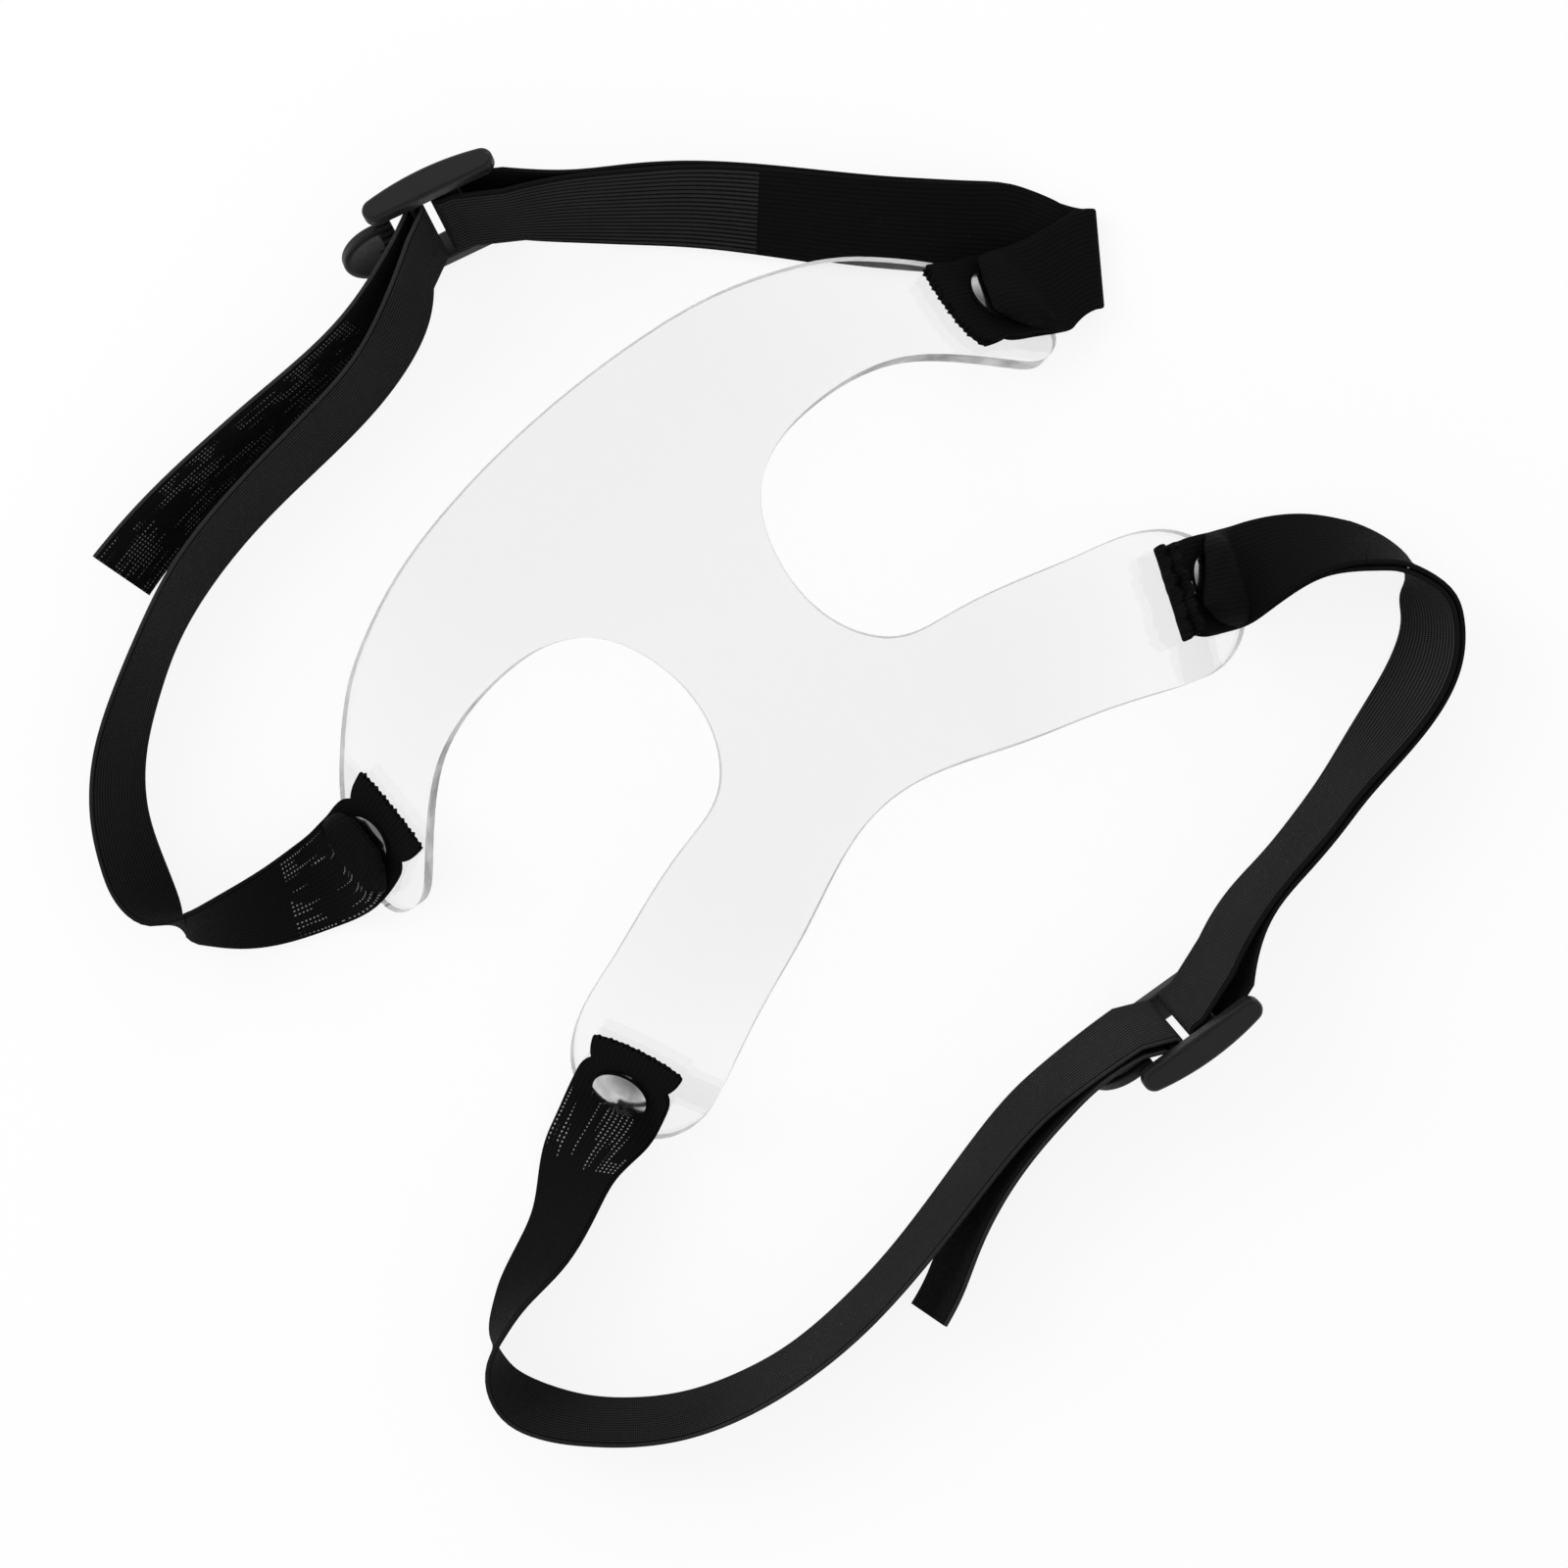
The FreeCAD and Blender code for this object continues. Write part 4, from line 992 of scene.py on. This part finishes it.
def makeWorld():
    # white for the camera, dim overhead and bright round about for what the surfaces mirror
    world = bpy.data.worlds.new("studio")
    bpy.context.scene.world = world
    world.use_nodes = True
    tree = world.node_tree
    tree.nodes.clear()
    path = tree.nodes.new("ShaderNodeLightPath")
    place = tree.nodes.new("ShaderNodeTexCoord")
    parts = tree.nodes.new("ShaderNodeSeparateXYZ")
    tree.links.new(place.outputs["Generated"], parts.inputs[0])

    def ranged(value, low, high):
        made = tree.nodes.new("ShaderNodeMapRange")
        tree.links.new(value, made.inputs["Value"])
        for name, given in (("To Min", low), ("To Max", high)):
            if isinstance(given, float):
                made.inputs[name].default_value = given
            else:
                tree.links.new(given, made.inputs[name])
        return made

    dome = ranged(parts.outputs["Z"], 1.0, stageLook["zenith"])
    dome.inputs["From Min"].default_value = stageLook["domeFrom"]
    dome.inputs["From Max"].default_value = stageLook["domeTo"]
    mirrored = ranged(path.outputs["Is Glossy Ray"], stageLook["world"], dome.outputs["Result"])
    strength = ranged(path.outputs["Is Camera Ray"], mirrored.outputs["Result"], 1.0)
    background = tree.nodes.new("ShaderNodeBackground")
    background.inputs["Color"].default_value = grey(1.0)
    output = tree.nodes.new("ShaderNodeOutputWorld")
    tree.links.new(strength.outputs["Result"], background.inputs["Strength"])
    tree.links.new(background.outputs["Background"], output.inputs["Surface"])


# both are large and high, and out of the mirror images
lamps = {
    "key": {"place": (-0.45, 1.15, 0.90), "size": 0.80, "power": 9.0},
    "fill": {"place": (0.75, 0.95, 0.70), "size": 0.50, "power": 2.0},
}


def makeLamps():
    for name, lamp in lamps.items():
        data = bpy.data.lights.new(name, "AREA")
        data.size = lamp["size"]
        data.energy = lamp["power"]
        made = bpy.data.objects.new(name, data)
        made.location = lamp["place"]
        made.visible_glossy = False
        made.rotation_euler = Vector(lamp["place"]).to_track_quat("Z", "Y").to_euler()
        bpy.context.scene.collection.objects.link(made)


view = {"over": (-0.0132, -0.0189), "height": 0.9, "roll": 41.0, "lens": 94.05}


def makeCamera():
    data = bpy.data.cameras.new("camera")
    data.lens = view["lens"]
    data.sensor_width = 36.0
    data.clip_start = 0.05
    data.clip_end = 20.0
    made = bpy.data.objects.new("camera", data)
    a = math.radians(view["roll"])
    right = Vector((math.cos(a), -math.sin(a), 0))
    up = Vector((math.sin(a), math.cos(a), 0))
    turn = Matrix((right, up, Vector((0, 0, 1)))).transposed()
    made.matrix_world = Matrix.Translation((*view["over"], view["height"])) @ turn.to_4x4()
    bpy.context.scene.collection.objects.link(made)
    bpy.context.scene.camera = made


makeStage()
makeWorld()
makeLamps()
makeCamera()
bpy.context.scene.view_settings.view_transform = "Standard"
print("floor, world, lamps and camera made")
